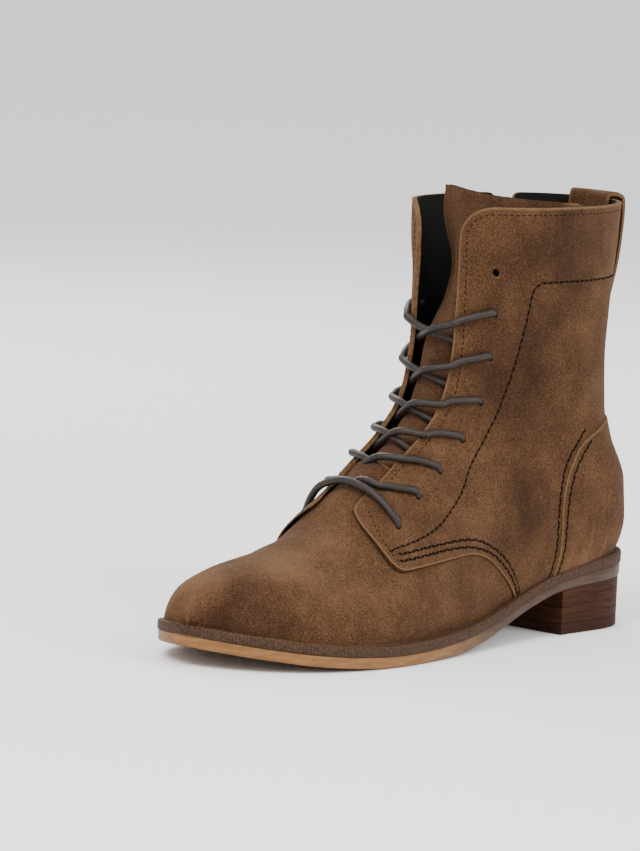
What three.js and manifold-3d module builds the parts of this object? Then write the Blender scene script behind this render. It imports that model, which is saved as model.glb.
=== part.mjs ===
// A lace-up ankle boot for the left foot, in millimetres: +Z up, toe towards -Y, outer side towards +X.
// The origin is on the floor under the middle of the heel.
import * as THREE from "three";
import { mergeVertices } from "three/addons/utils/BufferGeometryUtils.js";
import Module from "manifold-3d";

// Driving sizes
const soleLength = 268; // sole from the toe tip to the back of the heel
const ballWidth = 100; // sole across the ball
const bootHeight = 195; // floor to the collar
const heelHeight = 20; // heel block with its top lift
const heelLength = 57; // heel block from its breast to its back
const heelInset = 1; // how far the heel block stands in from the sole's edge
const liftThickness = 5;
const outsoleThickness = 5;
const outsoleInset = 0.5; // how far the outsole stands in from the welt's edge
const weltThickness = 4.2;
const toeSpring = 8.7;
const heelCenterToBack = 28.5;
const insoleThickness = 2.4;
const wall = 1.4; // leather and lining of the vamp
const panelStep = 0.8; // how far one panel stands over the one below it
const throatGap = 25; // between the two facings
const throatEndRadius = 5;
const collarCornerRadius = 14; // front corner of the collar, up the facing
const collarCornerReach = 12.5; // and along the collar
const holeRadius = 2.5;
const laceDiameter = 3.4;
const laceLift = 0.9; // how far the two strands of a crossing lie apart in height
const tongueThickness = 2;
const tongueWidth = 52;
const tongueRise = 6; // how far the tongue stands above the collar
const tongueFlare = 10; // how much further to the outer side the tongue reaches at its top
const tongueLean = 11; // how far the top of the tongue leans back from the facings
const loopWidth = 25;
const loopThickness = 1.8;
const loopStandOff = 4.5;
const loopRise = 3.2; // how far the loop stands above the collar
const zipSlotWidth = 8.4;
const zipChainWidth = 5.4;
const zipTapeWidth = 20;
const zipTapeThickness = 0.8;
const zipEndHeight = 62; // lower end of the zip above the floor
const sliderLength = 12;
const sliderWidth = 7;
const pullLength = 24;
const pullWidth = 5;
const pullThickness = 1.4;
const pullNeck = 2; // narrow part of the pull between its barrel and its blade
const pinRadius = 0.8;
const gap = 0.3; // clearance between curved pieces
const seat = 0.1; // clearance between flat ones

const backY = heelCenterToBack;
const toeY = heelCenterToBack - soleLength;

// Piecewise cubic through the rows of a table, with no overshoot between rows
function monotone(xs, ys) {
  const n = xs.length;
  const h = xs.slice(1).map((x, i) => x - xs[i]);
  const slope = h.map((step, i) => (ys[i + 1] - ys[i]) / step);
  const m = ys.map((_, i) => {
    if (i === 0) return slope[0];
    if (i === n - 1) return slope[n - 2];
    if (slope[i - 1] * slope[i] <= 0) return 0;
    const a = 2 * h[i] + h[i - 1];
    const b = h[i] + 2 * h[i - 1];
    return (a + b) / (a / slope[i - 1] + b / slope[i]);
  });
  return (x) => {
    let i = 0;
    while (i < n - 2 && x > xs[i + 1]) i += 1;
    const t = (x - xs[i]) / h[i];
    if (t < 0) return ys[0] + m[0] * (x - xs[0]);
    if (t > 1) return ys[n - 1] + m[n - 1] * (x - xs[n - 1]);
    const t2 = t * t;
    const t3 = t2 * t;
    return (
      (2 * t3 - 3 * t2 + 1) * ys[i] +
      (t3 - 2 * t2 + t) * h[i] * m[i] +
      (3 * t2 - 2 * t3) * ys[i + 1] +
      (t3 - t2) * h[i] * m[i + 1]
    );
  };
}

function column(rows, names, name, at = "at") {
  return monotone(
    rows.map((row) => row[names.indexOf(at)]),
    rows.map((row) => row[names.indexOf(name)]),
  );
}

// Side view of the sole. at: share of the length from the back. rise: share of the heel height.
// spring: share of the toe spring. outsole and welt: shares of their thicknesses.
const soleColumns = ["at", "rise", "spring", "outsole", "welt"];
const soleRows = [
  [0.0, 1.15, 0, 1.24, 1.36],
  [0.1, 1.11, 0, 1.12, 1.24],
  [0.215, 1.0, 0, 0.9, 1.0],
  [0.293, 0.76, 0, 0.88, 0.96],
  [0.368, 0.46, 0, 0.94, 0.94],
  [0.442, 0.2, 0, 1.1, 0.94],
  [0.517, 0.05, 0, 1.14, 0.98],
  [0.591, 0.01, 0, 1.04, 1.0],
  [0.64, 0, 0, 1.0, 1.0],
  [0.7, 0, 0, 1.0, 1.0],
  [0.76, 0, 0.07, 1.0, 1.0],
  [0.852, 0, 0.3, 1.0, 1.0],
  [0.927, 0, 0.62, 1.0, 1.0],
  [1.0, 0, 1.0, 1.0, 1.0],
];
const soleRise = column(soleRows, soleColumns, "rise");
const soleSpring = column(soleRows, soleColumns, "spring");
const outsoleShare = column(soleRows, soleColumns, "outsole");
const weltShare = column(soleRows, soleColumns, "welt");
const along = (y) => THREE.MathUtils.clamp((backY - y) / soleLength, 0, 1);
const soleBottom = (y) => heelHeight * soleRise(along(y)) + toeSpring * soleSpring(along(y));
const outsoleTop = (y) => soleBottom(y) + outsoleThickness * outsoleShare(along(y));
const soleTop = (y) => outsoleTop(y) + weltThickness * weltShare(along(y));

// Outline of the sole from above. at: share of the length from the back.
// outer and inner: shares of the ball width.
const outlineColumns = ["at", "outer", "inner"];
const outlineRows = [
  [0.0, 0.0, 0.0],
  [0.008, 0.115, 0.115],
  [0.035, 0.215, 0.215],
  [0.09, 0.278, 0.275],
  [0.21, 0.3, 0.285],
  [0.33, 0.335, 0.275],
  [0.45, 0.405, 0.3],
  [0.56, 0.475, 0.365],
  [0.68, 0.52, 0.44],
  [0.77, 0.51, 0.47],
  [0.85, 0.455, 0.45],
  [0.915, 0.355, 0.375],
  [0.96, 0.23, 0.275],
  [0.988, 0.09, 0.16],
  [1.0, -0.035, 0.035],
];
const outlinePoints = (side, inset) => {
  const name = side > 0 ? "outer" : "inner";
  const raw = outlineRows.map(
    (row) =>
      new THREE.Vector2(
        side * row[outlineColumns.indexOf(name)] * ballWidth,
        backY - row[0] * soleLength,
      ),
  );
  const curve = new THREE.SplineCurve(raw);
  const points = curve.getSpacedPoints(34);
  if (inset === 0) return points;
  return points.map((p, i) => {
    const a = points[Math.max(i - 1, 0)];
    const b = points[Math.min(i + 1, points.length - 1)];
    const t = b.clone().sub(a).normalize();
    if (i === 0 || i === points.length - 1) t.set(side, 0).multiplyScalar(i === 0 ? 1 : -1);
    return new THREE.Vector2(p.x + side * t.y * inset, p.y - side * t.x * inset);
  });
};
const soleOutline = (inset) => [
  ...outlinePoints(1, inset),
  ...outlinePoints(-1, inset).reverse().slice(1, -1),
];

// Solids: booleans, lofts and extrusions
const wasm = await Module();
wasm.setup();

function solidOf(geometry) {
  const bare = new THREE.BufferGeometry();
  bare.setAttribute("position", geometry.getAttribute("position"));
  if (geometry.index) bare.setIndex(geometry.index);
  const merged = mergeVertices(bare, 1e-4);
  return new wasm.Manifold(
    new wasm.Mesh({
      numProp: 3,
      vertProperties: new Float32Array(merged.attributes.position.array),
      triVerts: new Uint32Array(merged.index.array),
    }),
  );
}

function geometryOf(solid) {
  const mesh = solid.getMesh();
  const geometry = new THREE.BufferGeometry();
  geometry.setAttribute("position", new THREE.BufferAttribute(mesh.vertProperties, 3));
  geometry.setIndex(new THREE.BufferAttribute(mesh.triVerts, 1));
  return geometry;
}

function turned(geometry) {
  const index = geometry.index.array;
  for (let i = 0; i < index.length; i += 3) [index[i], index[i + 1]] = [index[i + 1], index[i]];
  return geometry;
}

// Closed skin through rings of equal length. A folded ring is a sheet: out along one face and back
// along the other, so its ends close across the thickness instead of fanning from a middle point.
function loft(rings, folded = false) {
  const n = rings[0].length;
  const points = rings.flat();
  const index = [];
  for (let r = 0; r < rings.length - 1; r += 1) {
    for (let i = 0; i < n; i += 1) {
      const a = r * n + i;
      const b = r * n + ((i + 1) % n);
      index.push(a, b, b + n, a, b + n, a + n);
    }
  }
  for (const first of [true, false]) {
    const start = first ? 0 : (rings.length - 1) * n;
    const faces = [];
    if (folded) {
      for (let i = 0; i < n / 2 - 1; i += 1) {
        const a = start + i;
        const b = start + n - 1 - i;
        faces.push([a, b, b - 1], [a, b - 1, a + 1]);
      }
    } else {
      const middle = points.length;
      const ring = first ? rings[0] : rings[rings.length - 1];
      points.push(ring.reduce((sum, p) => sum.add(p), new THREE.Vector3()).divideScalar(n));
      for (let i = 0; i < n; i += 1) faces.push([middle, start + ((i + 1) % n), start + i]);
    }
    for (const [a, b, c] of faces) index.push(...(first ? [a, b, c] : [a, c, b]));
  }
  const geometry = new THREE.BufferGeometry().setFromPoints(points).setIndex(index);
  const made = solidOf(geometry);
  return made.volume() > 0 ? made : solidOf(turned(geometry));
}

// Round cord along a curve
function cord(waypoints, radius, steps, sides = 6) {
  const curve = new THREE.CatmullRomCurve3(waypoints, false, "centripetal");
  const frames = curve.computeFrenetFrames(steps, false);
  return loft(
    Array.from({ length: steps + 1 }, (_, i) => {
      const middle = curve.getPointAt(i / steps);
      return Array.from({ length: sides }, (_, k) => {
        const angle = (2 * Math.PI * k) / sides;
        return middle
          .clone()
          .addScaledVector(frames.normals[i], radius * Math.cos(angle))
          .addScaledVector(frames.binormals[i], radius * Math.sin(angle));
      });
    }),
  );
}

// An outline in the side view, as [y, z] pairs, extruded across the boot from x0 to x1
function prism(outline, x0, x1) {
  const shape = new THREE.Shape(outline.map(([y, z]) => new THREE.Vector2(y, z)));
  const geometry = new THREE.ExtrudeGeometry(shape, { depth: x1 - x0, bevelEnabled: false });
  const axes = new THREE.Matrix4().makeBasis(
    new THREE.Vector3(0, 1, 0),
    new THREE.Vector3(0, 0, 1),
    new THREE.Vector3(1, 0, 0),
  );
  return solidOf(geometry.applyMatrix4(axes).translate(x0, 0, 0));
}

// An outline in the front view, as [x, z] pairs, extruded along the boot from y0 to y1
function frontPrism(outline, y0, y1) {
  const shape = new THREE.Shape(outline.map(([x, z]) => new THREE.Vector2(x, z)));
  const geometry = new THREE.ExtrudeGeometry(shape, { depth: y1 - y0, bevelEnabled: false });
  return solidOf(geometry.rotateX(Math.PI / 2).translate(0, y1, 0));
}

// An outline seen from above, extruded upwards
function slab(points, z0, z1) {
  const geometry = new THREE.ExtrudeGeometry(new THREE.Shape(points), {
    depth: z1 - z0,
    bevelEnabled: false,
  });
  return solidOf(geometry.translate(0, 0, z0));
}

const wide = ballWidth; // half width of every cutter that runs across the boot
const tall = 2 * bootHeight;
const beyond = 5; // how far the side view of the sole runs on past its ends

const profileYs = [backY + beyond];
soleRows.forEach(([at], i) => {
  if (i > 0) profileYs.push(backY - ((at + soleRows[i - 1][0]) / 2) * soleLength);
  profileYs.push(backY - at * soleLength);
});
profileYs.push(toeY - beyond);

// The layer of the sole between two heights, both functions of y
function layer(low, high) {
  return loft(
    profileYs.map((y) => [
      new THREE.Vector3(-wide, y, low(y)),
      new THREE.Vector3(wide, y, low(y)),
      new THREE.Vector3(wide, y, high(y)),
      new THREE.Vector3(-wide, y, high(y)),
    ]),
  );
}

// Sections of the upper, a row for each. Every section is a closed ring in a plane across the boot.
// It runs from the back or bottom point to the front or top point of the side view.
// backAt and frontAt: shares of the sole length from the back of the sole.
// backUp and frontUp: heights above the floor, as shares of the boot's height.
// outer and inner: half widths as shares of the ball width. widest: where along the section.
// backRound and frontRound: 2 is round, more is squarer. backX and frontX: sideways shift.
const sectionColumns = [
  "backAt", "backUp", "frontAt", "frontUp", "outer", "inner",
  "widest", "backRound", "frontRound", "backX", "frontX",
];
const sectionRows = [
  [0.978, 0.082, 0.978, 0.124, 0.05, 0.05, 0.45, 2.2, 2.0, -0.035, -0.035],
  [0.968, 0.02, 0.97, 0.155, 0.15, 0.15, 0.4, 2.6, 2.1, -0.035, -0.035],
  [0.942, -0.005, 0.938, 0.185, 0.27, 0.265, 0.38, 2.8, 2.1, -0.025, -0.035],
  [0.882, -0.025, 0.879, 0.21, 0.385, 0.365, 0.36, 2.8, 2.0, -0.015, -0.035],
  [0.8, -0.03, 0.797, 0.227, 0.455, 0.43, 0.34, 2.8, 1.95, 0.0, -0.035],
  [0.7, -0.025, 0.703, 0.27, 0.475, 0.42, 0.32, 2.8, 1.9, 0.01, -0.035],
  [0.591, -0.03, 0.622, 0.365, 0.435, 0.37, 0.31, 2.7, 1.9, 0.02, -0.035],
  [0.461, -0.02, 0.56, 0.44, 0.38, 0.345, 0.3, 2.5, 2.0, 0.02, -0.035],
  [0.319, 0.035, 0.514, 0.497, 0.325, 0.315, 0.3, 2.4, 2.1, 0.01, -0.035],
  [0.166, 0.08, 0.486, 0.548, 0.31, 0.305, 0.3, 2.3, 2.2, 0.0, -0.03],
  [0.047, 0.125, 0.471, 0.598, 0.305, 0.305, 0.31, 2.2, 2.3, 0.0, -0.025],
  [0.002, 0.227, 0.463, 0.653, 0.305, 0.305, 0.34, 2.2, 2.3, 0.0, -0.02],
  [0.006, 0.31, 0.459, 0.703, 0.305, 0.305, 0.37, 2.2, 2.3, 0.0, -0.015],
  [0.042, 0.41, 0.456, 0.76, 0.31, 0.31, 0.4, 2.1, 2.3, 0.0, -0.01],
  [0.06, 0.5, 0.454, 0.81, 0.315, 0.315, 0.43, 2.1, 2.3, 0.0, -0.005],
  [0.066, 0.61, 0.453, 0.866, 0.325, 0.325, 0.47, 2.1, 2.3, 0.0, 0.0],
  [0.066, 0.73, 0.453, 0.92, 0.345, 0.345, 0.5, 2.1, 2.3, 0.0, 0.005],
  [0.061, 0.855, 0.453, 0.975, 0.365, 0.365, 0.5, 2.1, 2.3, 0.0, 0.01],
  [0.055, 0.99, 0.453, 1.03, 0.38, 0.38, 0.5, 2.1, 2.3, 0.0, 0.015],
  [0.05, 1.09, 0.453, 1.09, 0.39, 0.39, 0.5, 2.1, 2.3, 0.0, 0.015],
];
const sectionAt = Object.fromEntries(
  sectionColumns.map((name, i) => [
    name,
    monotone(
      sectionRows.map((_, row) => row),
      sectionRows.map((row) => row[i]),
    ),
  ]),
);
const lastRow = sectionRows.length - 1;

// A point of the side view from its shares
function sidePoint(at, up) {
  return [backY - at * soleLength, up * bootHeight];
}

function sectionEnds(u) {
  const back = sidePoint(sectionAt.backAt(u), sectionAt.backUp(u));
  const front = sidePoint(sectionAt.frontAt(u), sectionAt.frontUp(u));
  return { back, front };
}

// A point of the last: u is the section row, angle runs from the back over the outer side to the front
function lastPoint(u, angle) {
  const { back, front } = sectionEnds(u);
  const c = Math.cos(angle);
  const s = Math.sin(angle);
  const round = c > 0 ? sectionAt.backRound(u) : sectionAt.frontRound(u);
  const reach = Math.abs(c) ** (2 / round);
  const widest = sectionAt.widest(u);
  const t = c > 0 ? widest * (1 - reach) : widest + (1 - widest) * reach;
  const half = (s >= 0 ? sectionAt.outer(u) : sectionAt.inner(u)) * ballWidth;
  const shift = THREE.MathUtils.lerp(sectionAt.backX(u), sectionAt.frontX(u), t) * ballWidth;
  return new THREE.Vector3(
    Math.sign(s) * half * Math.abs(s) ** (2 / round) + shift,
    THREE.MathUtils.lerp(back[0], front[0], t),
    THREE.MathUtils.lerp(back[1], front[1], t),
  );
}

function normalAt(u, angle) {
  const du = 0.06;
  const da = 0.06;
  const alongBoot = lastPoint(Math.min(u + du, lastRow), angle).sub(
    lastPoint(Math.max(u - du, 0), angle),
  );
  const around = lastPoint(u, angle + da).sub(lastPoint(u, angle - da));
  return alongBoot.cross(around).normalize();
}

// The last grown outwards by an offset, in millimetres
function surface(u, angle, offset) {
  return lastPoint(u, angle).addScaledVector(normalAt(u, angle), offset);
}

const ringSides = 32;
const ringStations = 32;
const stations = Array.from({ length: ringStations + 1 }, (_, i) => (lastRow * i) / ringStations);

function form(offset) {
  return loft(
    stations.map((u) =>
      Array.from({ length: ringSides }, (_, i) =>
        surface(u, (2 * Math.PI * i) / ringSides, offset),
      ),
    ),
  );
}

// The section whose front point stands at a height, and the one whose back point does
function sectionWith(name, up) {
  let low = 0;
  let high = lastRow;
  for (let i = 0; i < 30; i += 1) {
    const middle = (low + high) / 2;
    if (sectionAt[name](middle) < up) low = middle;
    else high = middle;
  }
  return low;
}
const frontSection = (z) => sectionWith("frontUp", z / bootHeight);
const backSection = (z) => sectionWith("backUp", z / bootHeight);

// The angle of a point of the front half that lies a distance to the side of the front point.
// side: 1 outer, -1 inner.
function frontAngle(u, across, side) {
  const half = (side > 0 ? sectionAt.outer(u) : sectionAt.inner(u)) * ballWidth;
  const round = sectionAt.frontRound(u);
  return Math.PI - side * Math.asin(Math.min(1, (across / half) ** (round / 2)));
}

function backAngle(u, across) {
  const half = sectionAt.outer(u) * ballWidth;
  return Math.sign(across) * Math.asin((Math.abs(across) / half) ** (sectionAt.backRound(u) / 2));
}

// Sole: top lift, heel block, outsole and welt
const outline = soleOutline(0);
const outsoleOutline = soleOutline(outsoleInset);
const heelRegion = prism(
  [
    [backY - heelLength, -1],
    [backY + beyond, -1],
    [backY + beyond, tall],
    [backY - heelLength, tall],
  ],
  -wide,
  wide,
);
const heelPlan = slab(soleOutline(heelInset), 0, tall).intersect(heelRegion);
const topLift = heelPlan.intersect(slab(outline, 0, liftThickness - seat));
const heelBlock = heelPlan.intersect(
  layer(
    () => liftThickness,
    (y) => soleBottom(y) - seat,
  ),
);
const outsole = slab(outsoleOutline, -1, tall).intersect(layer(soleBottom, outsoleTop));
const welt = slab(outline, -1, tall).intersect(layer((y) => outsoleTop(y) + seat, soleTop));

// Panels laid over the vamp, as outlines in the side view.
// at: share of the sole length from its back. up: share of the boot's height.
const quarterRows = [
  [0.62, 0.42],
  [0.651, 0.318],
  [0.663, 0.285],
  [0.666, 0.246],
  [0.664, 0.215],
  [0.657, 0.202],
  [0.645, 0.198],
  [0.598, 0.205],
  [0.528, 0.213],
  [0.468, 0.218],
  [0.422, 0.204],
  [0.388, 0.169],
  [0.359, 0.131],
  [0.319, 0.072],
];
const counterRows = [
  [-0.1, 0.53],
  [0.05, 0.513],
  [0.117, 0.495],
  [0.185, 0.451],
  [0.217, 0.382],
  [0.228, 0.322],
  [0.232, 0.227],
  [0.24, 0.15],
  [0.25, 0.05],
];
const quarterRegion = prism(
  [
    ...quarterRows.map((row) => sidePoint(...row)),
    sidePoint(0.3, -0.1),
    sidePoint(-0.2, -0.1),
    sidePoint(-0.2, 1.3),
    sidePoint(0.62, 1.3),
  ].reverse(),
  -wide,
  wide,
);
const counterRegion = prism(
  [...counterRows.map((row) => sidePoint(...row)), sidePoint(-0.1, 0.05)].reverse(),
  -wide,
  wide,
);

// Everything the upper leaves open: under the sole's top, above the collar, the throat
const belowSole = layer(
  () => -beyond - toeSpring,
  (y) => soleTop(y) + gap,
);
const aboveCollar = layer(
  () => bootHeight,
  () => tall,
);

// Throat between the facings, in the front view. It flares at the collar's rounded corners.
const throatLow = 5.65; // section where the throat ends above the vamp
const cornerSection = frontSection(bootHeight - collarCornerRadius);
const throatSections = [throatLow, 6, 7, 8, 9, 10.5, 12, 14, cornerSection];
const throatMiddle = (u) => sectionAt.frontX(u) * ballWidth;
const cornerSteps = 7;
const throatEdge = (side) => [
  ...throatSections.map((u, i) => {
    const { front } = sectionEnds(u);
    const narrow = i === 0 ? throatEndRadius : 0;
    return [throatMiddle(u) + side * (throatGap / 2 - narrow), front[1]];
  }),
  ...Array.from({ length: cornerSteps }, (_, i) => {
    const turn = ((i + 1) / cornerSteps) * (Math.PI / 2);
    const flare = collarCornerReach * (1 - Math.cos(turn));
    return [
      throatMiddle(lastRow) + side * (throatGap / 2 + flare),
      bootHeight - collarCornerRadius * (1 - Math.sin(turn)),
    ];
  }),
  [throatMiddle(lastRow) + side * (throatGap / 2 + collarCornerReach), tall],
];
const throatPrism = frontPrism(
  [...throatEdge(1), ...throatEdge(-1).reverse()],
  toeY,
  sectionEnds(lastRow).front[0] + 2 * collarCornerRadius,
);

// Zip: a slot down the inner side, its line given in the side view
const zipTop = [-12, bootHeight + beyond];
const zipFoot = [-26, zipEndHeight];
const zipLine = new THREE.Vector2(zipTop[0] - zipFoot[0], zipTop[1] - zipFoot[1]).normalize();
function zipBand(width, start, end) {
  const from = new THREE.Vector2(...zipFoot).addScaledVector(zipLine, start);
  const to = new THREE.Vector2(...zipFoot).addScaledVector(zipLine, end);
  const aside = new THREE.Vector2(zipLine.y, -zipLine.x).multiplyScalar(width / 2);
  return prism(
    [
      [from.x + aside.x, from.y + aside.y],
      [to.x + aside.x, to.y + aside.y],
      [to.x - aside.x, to.y - aside.y],
      [from.x - aside.x, from.y - aside.y],
    ],
    -wide,
    -throatGap / 2,
  );
}
const zipReach = bootHeight - zipEndHeight;

// Lace holes. section: row of the section table. across: share of the ball width from the
// front line of the boot. The uppermost pair stays empty.
const holeRows = [
  [6.0, 0.285],
  [6.8, 0.25],
  [7.7, 0.225],
  [8.9, 0.21],
  [10.4, 0.21],
  [12.2, 0.22],
  [13.9, 0.235],
  [15.3, 0.245],
];
const lacedPairs = holeRows.length - 1;

// A point beside the throat. level: a hole's number, or in between. share: how much of the way from
// the boot's front line to the hole.
function besideThroat(level, side, share, offset) {
  const hole = Math.floor(level);
  const next = Math.min(hole + 1, holeRows.length - 1);
  const u = THREE.MathUtils.lerp(holeRows[hole][0], holeRows[next][0], level - hole);
  const across = THREE.MathUtils.lerp(holeRows[hole][1], holeRows[next][1], level - hole);
  return surface(u, frontAngle(u, across * ballWidth * share, side), offset);
}

function holeCutter(hole, side) {
  const inside = besideThroat(hole, side, 1, -wall - 2 * panelStep);
  const outside = besideThroat(hole, side, 1, 3 * panelStep);
  return cord([inside, outside], holeRadius, 1);
}

const outerForm = form(0);
const innerForm = form(-wall);
const panels = wasm.Manifold.union([
  outerForm,
  form(panelStep).intersect(quarterRegion),
  form(2 * panelStep).intersect(counterRegion),
]);
const holes = holeRows.flatMap((_, i) => [holeCutter(i, 1), holeCutter(i, -1)]);
const upper = panels.subtract(
  wasm.Manifold.union([
    innerForm,
    belowSole,
    aboveCollar,
    throatPrism,
    zipBand(zipSlotWidth, 0, zipReach + 4 * beyond),
    ...holes,
  ]),
);

// Insole inside the foot of the upper
const insole = form(-wall - gap).intersect(
  layer(
    (y) => soleTop(y) + gap,
    (y) => soleTop(y) + gap + insoleThickness,
  ),
);

// Tongue: a sheet under the facings, leaning back at the top. Its places are section rows.
const tongueFoot = 5.1; // where it is sewn under the vamp
const laceRoom = { from: 5.3, to: 5.9 }; // where it drops away to leave room for the lace
const leanFrom = 11;
const flareFrom = 12;
const tongueRows = 14;
const tongueSteps = 10;
const tongueSections = Array.from({ length: tongueRows + 1 }, (_, i) =>
  THREE.MathUtils.lerp(tongueFoot, frontSection(bootHeight + tongueRise), i / tongueRows),
);
const tongueDepth = (u) => {
  const clear = laceDiameter * THREE.MathUtils.smoothstep(u, laceRoom.from, laceRoom.to) + 2 * gap;
  return wall + clear;
};
const tongueSetBack = (u) => tongueLean * THREE.MathUtils.smoothstep(u, leanFrom, lastRow - 1);
const tongue = loft(
  tongueSections.map((u) => {
    const flare = tongueFlare * THREE.MathUtils.smoothstep(u, flareFrom, lastRow - 1);
    const spread = Array.from({ length: tongueSteps + 1 }, (_, i) => {
      const across = THREE.MathUtils.lerp(-tongueWidth / 2, tongueWidth / 2 + flare, i / tongueSteps);
      return frontAngle(u, Math.abs(across), Math.sign(across));
    });
    const back = new THREE.Vector3(0, tongueSetBack(u), 0);
    const face = (depth) => spread.map((angle) => surface(u, angle, -depth).add(back));
    return [...face(tongueDepth(u)), ...face(tongueDepth(u) + tongueThickness).reverse()];
  }),
  true,
);

// Pull loop: up the back, over the collar and down inside
const shaftOut = panelStep + gap;
const shaftIn = -wall - gap;
const loopTop = bootHeight + loopRise;
const loopMiddle = shaftOut + loopThickness / 2;
const loopEnd = shaftIn - loopThickness / 2;
const loopPath = [
  [0.63 * bootHeight, loopMiddle],
  [0.7 * bootHeight, loopMiddle],
  [0.77 * bootHeight, loopMiddle + 0.25 * loopStandOff],
  [0.86 * bootHeight, loopMiddle + 0.8 * loopStandOff],
  [0.95 * bootHeight, loopMiddle + loopStandOff],
  [loopTop - 2 * loopThickness, loopMiddle + 0.9 * loopStandOff],
  [loopTop - 0.9 * loopThickness, shaftOut + 0.7 * loopStandOff],
  [loopTop - loopThickness / 2, (shaftOut + shaftIn) / 2 + 0.4 * loopStandOff],
  [loopTop - 0.9 * loopThickness, shaftIn],
  [loopTop - 2 * loopThickness, loopEnd],
  [0.95 * bootHeight, loopEnd],
  [0.86 * bootHeight, loopEnd],
].map(([z, offset]) => new THREE.Vector2(z, offset));
const loopSteps = 6;
const pullLoop = loft(
  loopPath.map((p, i) => {
    const before = loopPath[Math.max(i - 1, 0)];
    const after = loopPath[Math.min(i + 1, loopPath.length - 1)];
    const run = after.clone().sub(before).normalize();
    const face = (side) =>
      Array.from({ length: loopSteps + 1 }, (_, k) => {
        const z = p.x - (side * run.y * loopThickness) / 2;
        const offset = p.y + (side * run.x * loopThickness) / 2;
        const u = backSection(z);
        return surface(u, backAngle(u, loopWidth * (k / loopSteps - 0.5)), offset);
      });
    return [...face(1), ...face(-1).reverse()];
  }),
  true,
);

// Zip tape behind the slot, chain in it
const zipTape = form(-wall - gap)
  .subtract(form(-wall - gap - zipTapeThickness))
  .intersect(zipBand(zipTapeWidth, -wall, zipReach))
  .subtract(aboveCollar);
const zipChain = form(panelStep / 2)
  .subtract(innerForm)
  .intersect(zipBand(zipChainWidth, beyond, zipReach - sliderLength - beyond));

// Slider at the top of the zip, in its own axes: outward, along the zip and across it
const sliderHeight = bootHeight - sliderLength / 2 - beyond + gap;
const sliderY = zipFoot[0] + (zipLine.x / zipLine.y) * (sliderHeight - zipEndHeight);
function innerSidePoint(y, z) {
  let best = null;
  for (let u = lastRow / 2; u <= lastRow; u += 0.05) {
    for (let angle = -0.75 * Math.PI; angle < -0.2 * Math.PI; angle += 0.02) {
      const p = lastPoint(u, angle);
      const miss = Math.hypot(p.y - y, p.z - z);
      if (!best || miss < best.miss) best = { miss, u, angle };
    }
  }
  return best;
}
const sliderSpot = innerSidePoint(sliderY, sliderHeight);
const outward = normalAt(sliderSpot.u, sliderSpot.angle).setZ(0).normalize();
const zipDirection = new THREE.Vector3(0, zipLine.x, zipLine.y);
const upward = zipDirection.addScaledVector(outward, -zipDirection.dot(outward)).normalize();
const sliderAxes = new THREE.Matrix4()
  .makeBasis(upward.clone().cross(outward).normalize(), upward, outward)
  .setPosition(lastPoint(sliderSpot.u, sliderSpot.angle));

// A box by its middle and size, and a bar across the zip, both in the slider's axes
function block(size, middle) {
  return solidOf(new THREE.BoxGeometry(...size).translate(...middle).applyMatrix4(sliderAxes));
}
function crossBar(radius, length, up, out, sides = 12) {
  const bar = new THREE.CylinderGeometry(radius, radius, length, sides).rotateZ(Math.PI / 2);
  return solidOf(bar.translate(0, up, out).applyMatrix4(sliderAxes));
}
const sliderFloor = -wall + gap;
const sliderFace = panelStep + gap;
const lugThickness = 1.1;
const lugSpread = pullWidth / 2 - lugThickness + gap;
const barrelRadius = 2 * pinRadius + gap;
const pinUp = sliderLength / 2 - barrelRadius - pinRadius / 2;
const pinOut = sliderFace + barrelRadius + gap;
const lugBase = sliderFace - gap; // sunk into the slider
const lugHeight = pinOut + 2 * pinRadius - lugBase;
const lug = (side) =>
  block(
    [lugThickness, 2 * (barrelRadius - gap), lugHeight],
    [side * (lugSpread + lugThickness), pinUp, lugBase + lugHeight / 2],
  );
const zipSlider = wasm.Manifold.union([
  block(
    [sliderWidth, sliderLength, sliderFace - sliderFloor],
    [0, 0, (sliderFace + sliderFloor) / 2],
  ),
  lug(1),
  lug(-1),
  crossBar(pinRadius, 2 * lugSpread + 2 * lugThickness, pinUp, pinOut),
]);
const barrelLength = 2 * lugSpread + lugThickness - 2 * gap;
const pullBlade = pullLength - barrelRadius - pullNeck;
const pullTab = wasm.Manifold.union([
  crossBar(barrelRadius, barrelLength, pinUp, pinOut),
  block(
    [barrelLength, barrelRadius + beyond, pullThickness],
    [0, pinUp - (barrelRadius + beyond) / 2, pinOut],
  ),
  block(
    [pullWidth, pullBlade, pullThickness],
    [0, pinUp - barrelRadius - pullNeck - pullBlade / 2, pinOut],
  ),
]).subtract(crossBar(pinRadius + gap, pullWidth, pinUp, pinOut));

// Laces: centre lines above and below the leather
const overLeather = panelStep + gap + laceDiameter / 2;
const underLeather = -wall - gap - laceDiameter / 2;
const inHole = -wall + gap;
const laceSink = 0.45; // how deep the lace bends at a hole and over an edge
const strandSteps = 13;
const barSteps = 20;
const edgeShare = (hole) => throatGap / 2 / (holeRows[hole][1] * ballWidth);

// One strand: in at its own hole, over its facing's edge and down under the other facing.
// Rows: how far down in holes, side, share of the way to the hole, offset from the last.
function strand(hole, side, lift) {
  const own = edgeShare(hole);
  const other = edgeShare(hole - 1);
  const points = [
    [0, side, 1, inHole],
    [0, side, 1, overLeather - laceSink],
    [0.1, side, 0.9, overLeather + laceSink],
    [0.34, side, (1 + own) / 2, overLeather + laceSink],
    [0.66, side, own, overLeather + laceSink],
    [0.84, side, 0, lift],
    [1, -side, other, underLeather - 2 * seat],
    [1, -side, (1 + other) / 2, underLeather - seat],
    [1, -side, 0.95, underLeather - seat],
  ];
  return cord(
    points.map(([down, at, share, offset]) => besideThroat(hole - down, at, share, offset)),
    laceDiameter / 2,
    strandSteps,
  );
}

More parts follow.
